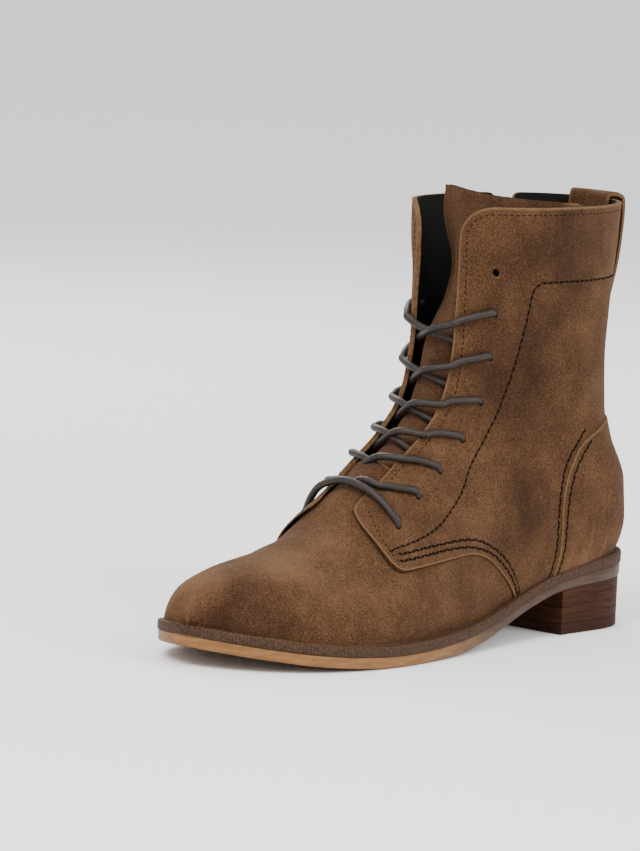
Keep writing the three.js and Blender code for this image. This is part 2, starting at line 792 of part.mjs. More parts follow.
// The straight run at the lowest holes, half of it on each side
const barHalf = [
  [1, inHole],
  [1, overLeather - 2 * laceSink],
  [0.9, overLeather + laceSink],
  [edgeShare(0), overLeather + laceSink],
];
const barPoint = (side) => (row) => besideThroat(0, side, row[0], row[1]);
const bar = cord(
  [
    ...barHalf.map(barPoint(1)),
    besideThroat(0, 1, 0, overLeather + laceSink),
    ...barHalf.map(barPoint(-1)).reverse(),
  ],
  laceDiameter / 2,
  barSteps,
);

const group = new THREE.Group();
function add(name, solid, color) {
  const material = new THREE.MeshStandardMaterial({ color, roughness: 0.8 });
  material.name = name;
  const mesh = new THREE.Mesh(geometryOf(solid), material);
  mesh.name = name;
  group.add(mesh);
}
add("upper", upper, 0x6e4b2d);
add("tongue", tongue, 0x6a4a2f);
add("insole", insole, 0x2a2522);
add("welt", welt, 0x6b5a4a);
add("outsole", outsole, 0xa5783f);
add("heel_block", heelBlock, 0x5d4634);
add("heel_top_lift", topLift, 0x4f3226);
add("pull_loop", pullLoop, 0x63442b);
add("zip_tape", zipTape, 0x2a2522);
add("zip_chain", zipChain, 0x2d2a28);
add("zip_slider", zipSlider, 0x8f6f5a);
add("zip_pull_tab", pullTab, 0x8f6f5a);
add("lace_bar", bar, 0x4b443f);
for (let i = 1; i < lacedPairs; i += 1) {
  add(`lace_crossing_${i}`, strand(i, 1, laceLift).add(strand(i, -1, -laceLift)), 0x4b443f);
}
export default group;
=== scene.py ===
import math

import bmesh
import bpy
import numpy as np
from mathutils import Matrix, Vector
from mathutils.geometry import delaunay_2d_cdt


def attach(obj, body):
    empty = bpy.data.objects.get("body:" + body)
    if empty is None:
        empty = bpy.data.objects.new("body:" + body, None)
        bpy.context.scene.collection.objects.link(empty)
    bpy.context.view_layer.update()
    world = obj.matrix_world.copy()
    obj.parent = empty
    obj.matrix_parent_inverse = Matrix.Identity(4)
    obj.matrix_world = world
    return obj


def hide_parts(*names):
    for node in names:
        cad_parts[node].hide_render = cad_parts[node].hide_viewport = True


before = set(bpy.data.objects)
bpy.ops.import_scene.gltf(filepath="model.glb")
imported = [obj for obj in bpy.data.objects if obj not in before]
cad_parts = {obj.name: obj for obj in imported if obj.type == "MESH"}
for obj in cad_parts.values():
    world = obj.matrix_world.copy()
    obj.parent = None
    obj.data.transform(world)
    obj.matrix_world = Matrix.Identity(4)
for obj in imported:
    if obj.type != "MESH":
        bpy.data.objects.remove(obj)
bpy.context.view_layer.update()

# Sizes in millimetres, as the solids have them
MM = 0.001
SOLE_LENGTH = 268
BALL_WIDTH = 100
BOOT_HEIGHT = 195
HEEL_HEIGHT = 20
HEEL_LENGTH = 57
HEEL_INSET = 1
LIFT_THICKNESS = 5
OUTSOLE_THICKNESS = 5
OUTSOLE_INSET = 0.5
WELT_THICKNESS = 4.2
TOE_SPRING = 8.7
BACK_Y = 28.5
INSOLE_THICKNESS = 2.4
WALL = 1.4
PANEL_STEP = 0.8
THROAT_GAP = 25
CORNER_RADIUS = 14
HOLE_RADIUS = 1.9
LACE_DIAMETER = 3.4
LACE_LIFT = 0.9
TONGUE_THICKNESS = 2
TONGUE_WIDTH = 52
TONGUE_RISE = 7
TONGUE_FLARE = 12
TONGUE_LEAN = 11
LOOP_WIDTH = 25
LOOP_THICKNESS = 1.8
LOOP_STAND_OFF = 4.5
LOOP_RISE = 3.2
ZIP_SLOT = 8.4
ZIP_TAPE = 20
ZIP_TAPE_THICKNESS = 0.8
ZIP_END_HEIGHT = 62
SLIDER_LENGTH = 12
SLIDER_WIDTH = 7
SLIDER_DROP = 4.7
PULL_LENGTH = 24
PULL_WIDTH = 5
PULL_THICKNESS = 1.4
PIN_RADIUS = 0.8
GAP = 0.3
FEATHER_SINK = 0.2  # how far the upper's lower edge sinks into the welt
OUTER = 1
INNER = -1


def monotone(xs, ys):
    """Piecewise cubic through the rows of a table, with no overshoot between rows"""
    xs, ys = np.array(xs, float), np.array(ys, float)
    steps = np.diff(xs)
    slopes = np.diff(ys) / steps
    tangents = np.array([slopes[0], *np.zeros(len(xs) - 2), slopes[-1]])
    for i in range(1, len(xs) - 1):
        if slopes[i - 1] * slopes[i] > 0:
            a = 2 * steps[i] + steps[i - 1]
            b = steps[i] + 2 * steps[i - 1]
            tangents[i] = (a + b) / (a / slopes[i - 1] + b / slopes[i])

    def at(x):
        x = np.asarray(x, float)
        i = np.clip(np.searchsorted(xs, x, side="right") - 1, 0, len(steps) - 1)
        t = np.clip((x - xs[i]) / steps[i], 0, 1)
        cubic = (
            (2 * t**3 - 3 * t**2 + 1) * ys[i]
            + (t**3 - 2 * t**2 + t) * steps[i] * tangents[i]
            + (3 * t**2 - 2 * t**3) * ys[i + 1]
            + (t**3 - t**2) * steps[i] * tangents[i + 1]
        )
        below = np.minimum(x - xs[0], 0) * tangents[0]
        above = np.maximum(x - xs[-1], 0) * tangents[-1]
        return cubic + below + above

    return at


def columns(names, rows, at=None):
    """A smooth function for each named column, over its row number or over the column called at"""
    table = list(zip(*rows))
    xs = range(len(rows)) if at is None else table[names.index(at)]
    return {name: monotone(xs, table[i]) for i, name in enumerate(names)}


SOLE = columns(
    ["at", "rise", "spring", "outsole", "welt"],
    [
        (0.0, 1.15, 0, 1.24, 1.36),
        (0.1, 1.11, 0, 1.12, 1.24),
        (0.215, 1.0, 0, 0.9, 1.0),
        (0.293, 0.76, 0, 0.88, 0.96),
        (0.368, 0.46, 0, 0.94, 0.94),
        (0.442, 0.2, 0, 1.1, 0.94),
        (0.517, 0.05, 0, 1.14, 0.98),
        (0.591, 0.01, 0, 1.04, 1.0),
        (0.64, 0, 0, 1.0, 1.0),
        (0.7, 0, 0, 1.0, 1.0),
        (0.76, 0, 0.07, 1.0, 1.0),
        (0.852, 0, 0.3, 1.0, 1.0),
        (0.927, 0, 0.62, 1.0, 1.0),
        (1.0, 0, 1.0, 1.0, 1.0),
    ],
    at="at",
)
OUTLINE = [
    (0.0, 0.0, 0.0),
    (0.008, 0.115, 0.115),
    (0.035, 0.215, 0.215),
    (0.09, 0.278, 0.275),
    (0.21, 0.3, 0.285),
    (0.33, 0.335, 0.275),
    (0.45, 0.405, 0.3),
    (0.56, 0.475, 0.365),
    (0.68, 0.52, 0.44),
    (0.77, 0.51, 0.47),
    (0.85, 0.455, 0.45),
    (0.915, 0.355, 0.375),
    (0.96, 0.23, 0.275),
    (0.988, 0.09, 0.16),
    (1.0, -0.035, 0.035),
]
SECTION = columns(
    ["back_at", "back_up", "front_at", "front_up", "outer", "inner",
     "widest", "back_round", "front_round", "back_x", "front_x"],
    [
        (0.978, 0.082, 0.978, 0.124, 0.05, 0.05, 0.45, 2.2, 2.0, -0.035, -0.035),
        (0.968, 0.02, 0.97, 0.155, 0.15, 0.15, 0.4, 2.6, 2.1, -0.035, -0.035),
        (0.942, -0.005, 0.938, 0.185, 0.27, 0.265, 0.38, 2.8, 2.1, -0.025, -0.035),
        (0.882, -0.025, 0.879, 0.21, 0.385, 0.365, 0.36, 2.8, 2.0, -0.015, -0.035),
        (0.8, -0.03, 0.797, 0.227, 0.455, 0.43, 0.34, 2.8, 1.95, 0.0, -0.035),
        (0.7, -0.025, 0.703, 0.27, 0.475, 0.42, 0.32, 2.8, 1.9, 0.01, -0.035),
        (0.591, -0.03, 0.622, 0.365, 0.435, 0.37, 0.31, 2.7, 1.9, 0.02, -0.035),
        (0.461, -0.02, 0.56, 0.44, 0.38, 0.345, 0.3, 2.5, 2.0, 0.02, -0.035),
        (0.319, 0.035, 0.514, 0.497, 0.325, 0.315, 0.3, 2.4, 2.1, 0.01, -0.035),
        (0.166, 0.08, 0.486, 0.548, 0.31, 0.305, 0.3, 2.3, 2.2, 0.0, -0.03),
        (0.047, 0.125, 0.471, 0.598, 0.305, 0.305, 0.31, 2.2, 2.3, 0.0, -0.025),
        (0.002, 0.227, 0.463, 0.653, 0.305, 0.305, 0.34, 2.2, 2.3, 0.0, -0.02),
        (0.006, 0.31, 0.459, 0.703, 0.305, 0.305, 0.37, 2.2, 2.3, 0.0, -0.015),
        (0.042, 0.41, 0.456, 0.76, 0.31, 0.31, 0.4, 2.1, 2.3, 0.0, -0.01),
        (0.06, 0.5, 0.454, 0.81, 0.315, 0.315, 0.43, 2.1, 2.3, 0.0, -0.005),
        (0.066, 0.61, 0.453, 0.866, 0.325, 0.325, 0.47, 2.1, 2.3, 0.0, 0.0),
        (0.066, 0.73, 0.453, 0.92, 0.345, 0.345, 0.5, 2.1, 2.3, 0.0, 0.005),
        (0.061, 0.855, 0.453, 0.975, 0.365, 0.365, 0.5, 2.1, 2.3, 0.0, 0.01),
        (0.055, 0.99, 0.453, 1.03, 0.38, 0.38, 0.5, 2.1, 2.3, 0.0, 0.015),
        (0.05, 1.09, 0.453, 1.09, 0.39, 0.39, 0.5, 2.1, 2.3, 0.0, 0.015),
    ],
)
LAST_ROW = 19
TOE_CAP = 0.5  # rows before the first in which the toe closes to a point
TOE_BULGE = 1.0
TOE_RUN = np.array([0, -1.0, 0])


def along(y):
    return np.clip((BACK_Y - y) / SOLE_LENGTH, 0, 1)


def sole_bottom(y):
    return HEEL_HEIGHT * SOLE["rise"](along(y)) + TOE_SPRING * SOLE["spring"](along(y))


def outsole_top(y):
    return sole_bottom(y) + OUTSOLE_THICKNESS * SOLE["outsole"](along(y))


def sole_top(y):
    return outsole_top(y) + WELT_THICKNESS * SOLE["welt"](along(y))


def section_ends(u):
    back = np.stack([BACK_Y - SECTION["back_at"](u) * SOLE_LENGTH, SECTION["back_up"](u) * BOOT_HEIGHT])
    front = np.stack([BACK_Y - SECTION["front_at"](u) * SOLE_LENGTH, SECTION["front_up"](u) * BOOT_HEIGHT])
    return back, front


def last_point(u, angle):
    """A point of the last: u is the section row, angle runs from the back over the outer side to the front"""
    u, angle = np.broadcast_arrays(np.asarray(u, float), np.asarray(angle, float))
    row = np.maximum(u, 0)
    back, front = section_ends(row)
    c, s = np.cos(angle), np.sin(angle)
    power = 2 / np.where(c > 0, SECTION["back_round"](row), SECTION["front_round"](row))
    reach = np.abs(c) ** power
    widest = SECTION["widest"](row)
    t = np.where(c > 0, widest * (1 - reach), widest + (1 - widest) * reach)
    half = np.where(s >= 0, SECTION["outer"](row), SECTION["inner"](row)) * BALL_WIDTH
    shift = (SECTION["back_x"](row) * (1 - t) + SECTION["front_x"](row) * t) * BALL_WIDTH
    point = np.stack(
        [
            np.sign(s) * half * np.abs(s) ** power + shift,
            back[0] + (front[0] - back[0]) * t,
            back[1] + (front[1] - back[1]) * t,
        ],
        axis=-1,
    )
    closing = np.clip(1 + np.minimum(u, 0) / TOE_CAP, 0, 1)[..., None]
    middle = np.stack([SECTION["front_x"](row) * BALL_WIDTH, *(back + front) / 2], axis=-1)
    return middle + (point - middle) * closing + TOE_BULGE * TOE_RUN * (1 - closing**2)


def unit(v):
    return v / np.maximum(np.linalg.norm(v, axis=-1, keepdims=True), 1e-12)


def normal_at(u, angle):
    step = 0.06
    u = np.asarray(u, float)
    up = last_point(np.minimum(u + step, LAST_ROW), angle) - last_point(np.maximum(u - step, -TOE_CAP), angle)
    around = last_point(u, np.asarray(angle) + step) - last_point(u, np.asarray(angle) - step)
    normal = unit(np.cross(up, around))
    tip = np.clip(-u / TOE_CAP, 0, 1)[..., None] ** 2
    return unit(normal * (1 - tip) + TOE_RUN * tip)


def smooth(x, low, high):
    t = np.clip((x - low) / (high - low), 0, 1)
    return t * t * (3 - 2 * t)


def path_distance(points, path):
    """Distance of each point from a path of points"""
    best = np.full(len(points), 1e9)
    for a, b in zip(path[:-1], path[1:]):
        run = b - a
        t = np.clip((points - a) @ run / max(run @ run, 1e-9), 0, 1)
        best = np.minimum(best, np.linalg.norm(points - a - t[:, None] * run, axis=1))
    return best


# Soft troughs and ridges of the leather, each a path in the side view as (y, z) points.
# side: 1 outer, -1 inner, 0 both. depth in mm, negative for a ridge. width in mm.
CREASES = [
    (0, 0.5, 5, [(-150, 66), (-163, 50), (-168, 36)]),
    (0, 0.45, 4.5, [(-162, 62), (-174, 47), (-181, 33)]),
    (0, -0.4, 5, [(-156, 64), (-169, 48), (-175, 35)]),
    (OUTER, 0.8, 8, [(-60, 84), (-40, 96), (-16, 104)]),
    (OUTER, -0.5, 7, [(-66, 96), (-44, 110), (-18, 118)]),
    (OUTER, 0.6, 7, [(-86, 72), (-66, 60), (-50, 46)]),
    (OUTER, 0.6, 9, [(-70, 128), (-46, 132), (-18, 128)]),
    (OUTER, 0.5, 8, [(-76, 168), (-60, 158), (-40, 150)]),
    (INNER, 0.8, 8, [(-60, 84), (-40, 94), (-16, 102)]),
    (INNER, -0.5, 7, [(-64, 98), (-40, 108), (-18, 114)]),
    (INNER, 0.6, 8, [(-84, 74), (-64, 62), (-48, 48)]),
    (0, 0.5, 6, [(-205, 42), (-214, 33), (-216, 26)]),
]


CREASE_FADE = 12  # how far from the middle line the creases of one side set in
SWELL = 0.22  # height of the leather's slow unevenness


def relief(point, angle):
    flat = point.reshape(-1, 3)
    x, y, z = flat.T
    side = np.sign(np.sin(np.broadcast_to(angle, point.shape[:-1]).reshape(-1)))
    out = np.zeros(len(flat))
    for which, depth, width, path in CREASES:
        away = path_distance(flat[:, 1:], np.array(path, float))
        share = 1 if which == 0 else smooth(side * which * np.abs(x), 0, CREASE_FADE)
        out -= depth * share * np.exp(-((away / width) ** 2))
    out += SWELL * np.sin(y / 9 + z / 13) * np.sin(z / 8 - x / 17)
    return out.reshape(point.shape[:-1])


def skin(u, angle, offset, worn=True):
    """The last grown outwards by an offset in millimetres, with the leather's troughs and ridges"""
    point = last_point(u, angle)
    lift = relief(point, angle) if worn else 0
    return point + normal_at(u, angle) * (np.asarray(offset) + lift)[..., None]


def bisect(low, high, rises):
    """The value between low and high above which the test holds"""
    for _ in range(30):
        middle = (low + high) / 2
        held = rises(middle)
        high = np.where(held, middle, high)
        low = np.where(held, low, middle)
    return high


def over_welt(point):
    return point[..., 2] > sole_top(point[..., 1]) - FEATHER_SINK


def feather(side, u):
    """Angle at which a section meets the welt"""
    u = np.asarray(u, float)
    low, high = np.zeros_like(u), np.full_like(u, np.pi)
    return bisect(low, high, lambda angle: over_welt(last_point(u, side * angle)))


SHAFT_ROW = 9.0  # the back is still below the welt here
HEEL_ROW = float(bisect(SHAFT_ROW, 12.0, lambda u: over_welt(last_point(u, 0.0))))


def row_at_height(angle, z):
    """Section row at which an angle reaches a height"""
    angle = np.asarray(angle, float)
    low, high = np.full_like(angle, SHAFT_ROW), np.full_like(angle, float(LAST_ROW))
    return bisect(low, high, lambda u: last_point(u, angle)[..., 2] > z)


def front_width(u, across, side):
    """Angle from the front line at which a point lies that far to the side"""
    half = (SECTION["outer"](u) if side > 0 else SECTION["inner"](u)) * BALL_WIDTH
    return np.arcsin(np.clip((across / half) ** (SECTION["front_round"](u) / 2), 0, 1))


def back_width(u, across):
    half = SECTION["outer"](u) * BALL_WIDTH
    return np.sign(across) * np.arcsin((np.abs(across) / half) ** (SECTION["back_round"](u) / 2))


def beside_front(side, u, across):
    """Angle at which a point of one side lies that far from the front line"""
    return side * (np.pi - front_width(u, across, side))


def pairs(rows, angles):
    return np.stack([rows, angles], axis=1)


def run_along(points):
    """How far along its path each point lies"""
    return np.r_[0, np.cumsum(np.linalg.norm(np.diff(points, axis=0), axis=1))]


def even(points, step):
    points = np.asarray(points, float)
    run = run_along(points)
    count = max(2, int(round(run[-1] / step)) + 1)
    s = np.linspace(0, run[-1], count)
    return np.stack([np.interp(s, run, column) for column in points.T], axis=1)


def even_count(points, count):
    return even(points, run_along(points)[-1] / count)


def smooth_path(points, step):
    """Even points along a soft curve through points"""
    p = np.array(points, float)
    p = np.vstack([2 * p[0] - p[1], p, 2 * p[-1] - p[-2]])
    t = np.linspace(0, 1, 24, endpoint=False)[:, None]
    out = []
    for before, start, end, after in zip(p, p[1:], p[2:], p[3:]):
        slope = end - before
        bend = 2 * before - 5 * start + 4 * end - after
        twist = 3 * start - before - 3 * end + after
        out.append(0.5 * (2 * start + slope * t + bend * t**2 + twist * t**3))
    return even(np.vstack([*out, p[-2:-1]]), step)


def spots(side, path):
    """Section rows and angles, as columns, of points given in the side view as (y, z)"""
    rim, row_step, turn_step = 0.02, 0.02, 0.01
    most = np.array([0.3, 0.1])
    us, angles = np.meshgrid(np.linspace(0, LAST_ROW, 300), np.linspace(rim, np.pi - rim, 150), indexing="ij")
    grid = last_point(us, side * angles)[..., 1:]
    found = []
    for target in np.asarray(path, float):
        near = np.argmin(((grid - target) ** 2).sum(-1))
        u, a = us.flat[near], angles.flat[near]
        for _ in range(6):
            here = last_point(u, side * a)[1:]
            up = (last_point(u + row_step, side * a)[1:] - here) / row_step
            round_it = (last_point(u, side * (a + turn_step))[1:] - here) / turn_step
            move = np.linalg.lstsq(np.stack([up, round_it], axis=1), target - here, rcond=0.002)[0]
            move = np.clip(move, -most, most)
            u = float(np.clip(u + move[0], 0, LAST_ROW))
            a = float(np.clip(a + move[1], 0, np.pi))
        found.append((u, side * a))
    return np.array(found)


def side_rows(rows):
    return [(BACK_Y - at * SOLE_LENGTH, up * BOOT_HEIGHT) for at, up in rows]


# Edges of the panels in the side view, as shares of the sole's length and the boot's height
QUARTER_EDGE = side_rows([
    (0.651, 0.318), (0.663, 0.285), (0.666, 0.246), (0.664, 0.215), (0.657, 0.202), (0.645, 0.198),
    (0.598, 0.205), (0.528, 0.213), (0.468, 0.218), (0.422, 0.204), (0.388, 0.169), (0.359, 0.131),
    (0.319, 0.072),
])
COUNTER_EDGE = side_rows([
    (0.117, 0.495), (0.185, 0.451), (0.217, 0.382), (0.228, 0.322), (0.232, 0.227), (0.24, 0.15),
    (0.25, 0.09),
])
# The lace holes from the lowest up: section row, and share of the ball's width from the front line
HOLES = [
    (6.0, 0.285), (6.8, 0.25), (7.7, 0.225), (8.9, 0.21), (10.4, 0.21), (12.2, 0.22), (13.9, 0.235),
    (15.3, 0.245),
]
ZIP_TOP = np.array([-12.0, 200.0])
ZIP_FOOT = np.array([-26.0, ZIP_END_HEIGHT])
ZIP_RUN = (ZIP_TOP - ZIP_FOOT) / np.linalg.norm(ZIP_TOP - ZIP_FOOT)
ZIP_ASIDE = np.array([ZIP_RUN[1], -ZIP_RUN[0]])

# Meshes


def finished(name, bm, material, body="boot", replaces=(), shade=True):
    """The piece itself: its mesh in metres, its finish, and what it rides on and stands for"""
    bmesh.ops.dissolve_degenerate(bm, dist=1e-7, edges=bm.edges)
    mesh = bpy.data.meshes.new(name)
    bm.to_mesh(mesh)
    bm.free()
    if shade:
        mesh.shade_smooth()
    for each in material if isinstance(material, (list, tuple)) else [material]:
        mesh.materials.append(each)
    piece = bpy.data.objects.new(name, mesh)
    bpy.context.scene.collection.objects.link(piece)
    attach(piece, body)
    if replaces:
        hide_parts(*replaces)
    return piece


def sheet(bm, across, up, place):
    """A grid of faces put in place by a function of two shares"""
    made = bmesh.ops.create_grid(bm, x_segments=across, y_segments=up, size=0.5)["verts"]
    s = np.array([v.co.x + 0.5 for v in made])
    t = np.array([v.co.y + 0.5 for v in made])
    marks = [bm.verts.layers.float.get(n) or bm.verts.layers.float.new(n) for n in ("across", "along")]
    made = bm.verts[-len(made):]
    for v, p, *shares in zip(made, place(s, t) * MM, s, t):
        v.co = p
        for mark, share in zip(marks, shares):
            v[mark] = share


def step_of(share, count):
    """The one of a row of count places that lies at a share of it"""
    return np.clip(np.round(share * (count - 1)).astype(int), 0, count - 1)


def folded(t):
    """A folded sheet goes over its outer face and back under it: whether it is outside, and how far across"""
    lap = t * 2
    return lap < 1, np.where(lap < 1, lap, 2 - lap)


def closed(bm):
    bmesh.ops.remove_doubles(bm, verts=bm.verts, dist=2e-6)
    bmesh.ops.dissolve_degenerate(bm, dist=1e-6, edges=bm.edges)
    bmesh.ops.recalc_face_normals(bm, faces=bm.faces)


def folded_piece(name, across, up, place, material, width=None, row=99.0):
    """A folded sheet. width: its own, where how far each place lies from its side edges shows in its
    finish, and from a row of stitches that far from them."""
    bm = bmesh.new()
    sheet(bm, across, up, place)
    # near_row: how far each place lies from the row of stitches, along which the finish paints shade
    if width:
        near_edge, near_row = (bm.verts.layers.float.new(n) for n in ("near_edge", "near_row"))
        along_layer = bm.verts.layers.float["along"]
        for v in bm.verts:
            share = (v[along_layer] * 2) % 1
            away = min(share, 1 - share) * width
            v[near_edge], v[near_row] = away, abs(away - row)
    closed(bm)
    finished(name, bm, material, replaces=[name])


CHART = np.array([16.0, 46.0])  # millimetres for a section row and for a radian
MESH_STEP = 1.3  # of a panel's triangles
LANES = (-1.1, -0.5, 0.0, 0.5, 1.1)  # closer points lie this far beside a stitched line
LANE_CELL = 0.45
LANE_ROOM, RIM_ROOM = 1.6, 0.62  # the even points keep this far from lines and edges
ROW_DEPTH, ROW_WIDTH = 0.3, 0.7
RIDGE_HEIGHT, RIDGE_WIDTH = 0.35, 0.8
RIM = 0.3
FAR = 20.0


def inside(points, outline):
    x, y = points[:, 0], points[:, 1]
    odd = np.zeros(len(points), bool)
    for (x0, y0), (x1, y1) in zip(outline, np.roll(outline, -1, axis=0)):
        if y0 != y1:
            odd ^= ((y0 > y) != (y1 > y)) & (x < (x1 - x0) * (y - y0) / (y1 - y0) + x0)
    return odd


def in_panel(points, loops):
    """Whether each point lies within the first loop and outside the others"""
    keep = inside(points, loops[0])
    for hole in loops[1:]:
        keep &= ~inside(points, hole)
    return keep


def nearest(points, marks):
    """Distance of each point from the nearest mark"""
    best = np.full(len(points), 1e9)
    for mark in marks:
        best = np.minimum(best, ((points - mark) ** 2).sum(1))
    return np.sqrt(best)


def from_lines(place, lines):
    """Distance of each place from the nearest of some rows of (section row, angle)"""
    best = np.full(len(place), FAR)
    for line in lines:
        best = np.minimum(best, path_distance(place, even(last_point(*line.T), 1.5)))
    return best


def thinned(points, cell):
    """The first of the points in each small square"""
    kept = {}
    for p in points:
        kept.setdefault((p[0] // cell, p[1] // cell), p)
    return np.array(list(kept.values()))


def panel_points(loops, lines):
    """Even points within a panel's flat outline, closer along its lines"""
    low, high = loops[0].min(0), loops[0].max(0)
    grid = []
    for k, y in enumerate(np.arange(low[1], high[1], MESH_STEP * 0.87)):
        grid += [(x + (k % 2) * MESH_STEP / 2, y) for x in np.arange(low[0], high[0], MESH_STEP)]
    grid = np.array(grid)
    grid = grid[in_panel(grid, loops)]
    lanes = []
    for line in lines:
        grid = grid[path_distance(grid, even(line, 3.0)) > LANE_ROOM]
        line = even(line, 1.0)
        aside = unit(np.gradient(line, axis=0))[:, ::-1] * [1, -1]
        lanes += [line + aside * away for away in LANES]
    lanes = np.vstack(lanes)
    grid = np.vstack([grid, thinned(lanes[inside(lanes, loops[0])], LANE_CELL)])
    for loop in loops:
        grid = grid[path_distance(grid, np.vstack([loop, loop[:1]])) > RIM_ROOM]
    return grid


def flat_panel(loops, lines):
    """A panel as cut, flat on its chart"""
    points, edges = [], []
    for loop in loops:
        n = len(loop)
        edges += [(len(points) + i, len(points) + (i + 1) % n) for i in range(n)]
        points += [Vector(p) for p in loop]
    points += [Vector(p) for p in panel_points(loops, lines)]
    verts, _, faces, _, _, _ = delaunay_2d_cdt(points, edges, [], 0, 1e-5)
    flat = np.array([v[:] for v in verts])
    kept = in_panel(np.array([flat[list(f)].mean(0) for f in faces]), loops)
    bm = bmesh.new()
    for mark in ("near_edge", "near_row"):
        bm.verts.layers.float.new(mark)
    made = [bm.verts.new((x, y, 0)) for x, y in flat]
    for f, keep in zip(faces, kept):
        if keep:
            bm.faces.new([made[i] for i in f])
    bmesh.ops.delete(bm, geom=[v for v in bm.verts if not v.link_faces], context="VERTS")
    return bm


def leather(name, outline, top, bottom, finishes, rows, holes=(), ridges=(), soften=0):
    """A panel of the upper. outline and holes: rows of (section row, angle). top and bottom: how far its
    two faces lie outside the last, as functions of section row, angle and place. rows: paths that
    stitches pull in. ridges: paths that stand up between two of them."""
    outline = np.vstack([outline, outline[:1]]) * CHART
    outline = even(outline, MESH_STEP)[:-1]
    for _ in range(soften):
        outline = outline / 2 + (np.roll(outline, 1, axis=0) + np.roll(outline, -1, axis=0)) / 4
    bm = flat_panel([outline, *(hole * CHART for hole in holes)], [line * CHART for line in [*rows, *ridges]])
    under = bm.faces[:]
    out = bmesh.ops.extrude_face_region(bm, geom=under, use_keep_orig=True)["geom"]
    under = set(under)
    over = {g for g in out if isinstance(g, bmesh.types.BMFace)}
    over_verts = {v for f in over for v in f.verts}
    verts = bm.verts[:]
    on_top = np.array([v in over_verts for v in verts])
    u, angle = (np.array([v.co[:2] for v in verts]) / CHART).T
    place = last_point(u, angle)
    ring = np.vstack([outline, outline[:1]])
    free = ring[np.abs(ring[:, 1]) > 1.0] / CHART
    to_edge = np.minimum(nearest(place, last_point(*free.T)), FAR)
    # Each place's distance from the rows is kept as near_row; the suede's finish paints shade along them
    to_row = from_lines(place, rows)
    offset = np.where(on_top, top(u, angle, place), bottom(u, angle, place))
    offset = offset - on_top * ROW_DEPTH * np.exp(-((to_row / ROW_WIDTH) ** 2))
    offset = offset + on_top * RIDGE_HEIGHT * np.exp(-((from_lines(place, ridges) / RIDGE_WIDTH) ** 2))
    near_edge, near_row = (bm.verts.layers.float[n] for n in ("near_edge", "near_row"))
    for v, p, a, b in zip(verts, skin(u, angle, offset) * MM, to_edge, to_row):
        v.co = p
        v[near_edge] = a
        v[near_row] = b
    for f in bm.faces:
        f.material_index = 0 if f in over else 1 if f in under else 2
    bmesh.ops.remove_doubles(bm, verts=bm.verts, dist=1e-6)
    if bm.calc_volume(signed=True) < 0:
        bmesh.ops.reverse_faces(bm, faces=bm.faces)
    sharp = [
        e for e in bm.edges
        if len(e.link_faces) == 2 and {f.material_index for f in e.link_faces} in ({0, 2}, {1, 2})
    ]
    bmesh.ops.bevel(
        bm, geom=sharp, offset=RIM * MM, offset_type="OFFSET", segments=2, profile=0.5,
        affect="EDGES", material=2, clamp_overlap=True,
    )
    return finished(name, bm, finishes, replaces=["upper"])


def tube(bm, path, radius, sides):
    """A round cord along even points, with a turning frame that doesn't twist, closed at both ends"""
    run = unit(np.gradient(path, axis=0))
    aside = [unit(np.cross(run[0], [0.3, 0.5, 0.81]))]
    for r in run[1:]:
        aside.append(unit(aside[-1] - r * (aside[-1] @ r)))
    aside = np.array(aside)
    upright = np.cross(run, aside)
    n = len(path)
    size = radius * np.interp(np.arange(n), [0, 1, n - 2, n - 1], [0.72, 1, 1, 0.72])

    def place(s, t):
        step = np.round(t * (n + 1)).astype(int)
        i = np.clip(step - 1, 0, n - 1)
        turn = 2 * np.pi * s
        r = np.where(step % (n + 1) == 0, 0, size[i])[:, None]
        return path[i] + r * (aside[i] * np.cos(turn)[:, None] + upright[i] * np.sin(turn)[:, None])

    sheet(bm, sides, n + 1, place)


def sole_side(side, inset, count):
    rows = [(side * (outer if side > 0 else inner), at) for at, outer, inner in OUTLINE]
    line = smooth_path([(x * BALL_WIDTH, BACK_Y - at * SOLE_LENGTH) for x, at in rows], 0.5)
    line = even_count(line, count)
    run = unit(np.gradient(line, axis=0))
    run[0], run[-1] = (side, 0), (-side, 0)
    return line + side * inset * run[:, ::-1] * [1, -1]


BREAST_STEPS = 9
BREAST_AXIS = 12  # the middle line of a heel layer starts and ends this far inside it


def sole_layer(name, material, inset, low, high, profile, count, front=None, shade=True):
    """A layer of the sole as a closed skin. profile: rows of (share from the middle, inset, share of the
    height), from the middle of its underside to the middle of its top. front: where a heel breast cuts it."""

    def ring(extra):
        sides = [sole_side(side, inset + extra, count) for side in (OUTER, INNER)]
        if front is not None:
            cut = front + extra
            corners = [(np.interp(cut, s[::-1, 1], s[::-1, 0]), cut) for s in sides]
            sides = [even(np.vstack([s[s[:, 1] > cut], corner]), 1.0) for s, corner in zip(sides, corners)]
            size = min(len(s) for s in sides)
            sides = [even_count(s, size - 1)[:size] for s in sides]
            breast = [np.linspace(s[-1], (0, cut), BREAST_STEPS) for s in sides]
            sides = [np.vstack([s, b[1:]]) for s, b in zip(sides, breast)]
        return np.vstack([sides[0], sides[1][::-1]])

    rings = {extra: ring(extra) for _, extra, _ in profile}
    n = min(len(r) for r in rings.values())
    rings = {extra: even_count(r, n - 1)[:n] for extra, r in rings.items()}

    def place(s, t):
        i, k = step_of(s, n), step_of(t, len(profile))
        out = np.empty((len(s), 3))
        for j, (share, extra, up) in enumerate(profile):
            at = k == j
            edge = rings[extra][i[at]]
            axis = (edge + rings[extra][n - 1 - i[at]]) / 2
            if front is not None:
                axis[:, 0] = 0
                axis[:, 1] = np.clip(axis[:, 1], front + BREAST_AXIS, BACK_Y - BREAST_AXIS)
            xy = axis + (edge - axis) * share
            y = (xy if share < 1 else edge)[:, 1]
            out[at] = np.column_stack([xy, low(y) * (1 - up) + high(y) * up])
        return out

    bm = bmesh.new()
    sheet(bm, n - 1, len(profile) - 1, place)
    closed(bm)
    finished(name, bm, material, replaces=[name], shade=shade)


# Finishes


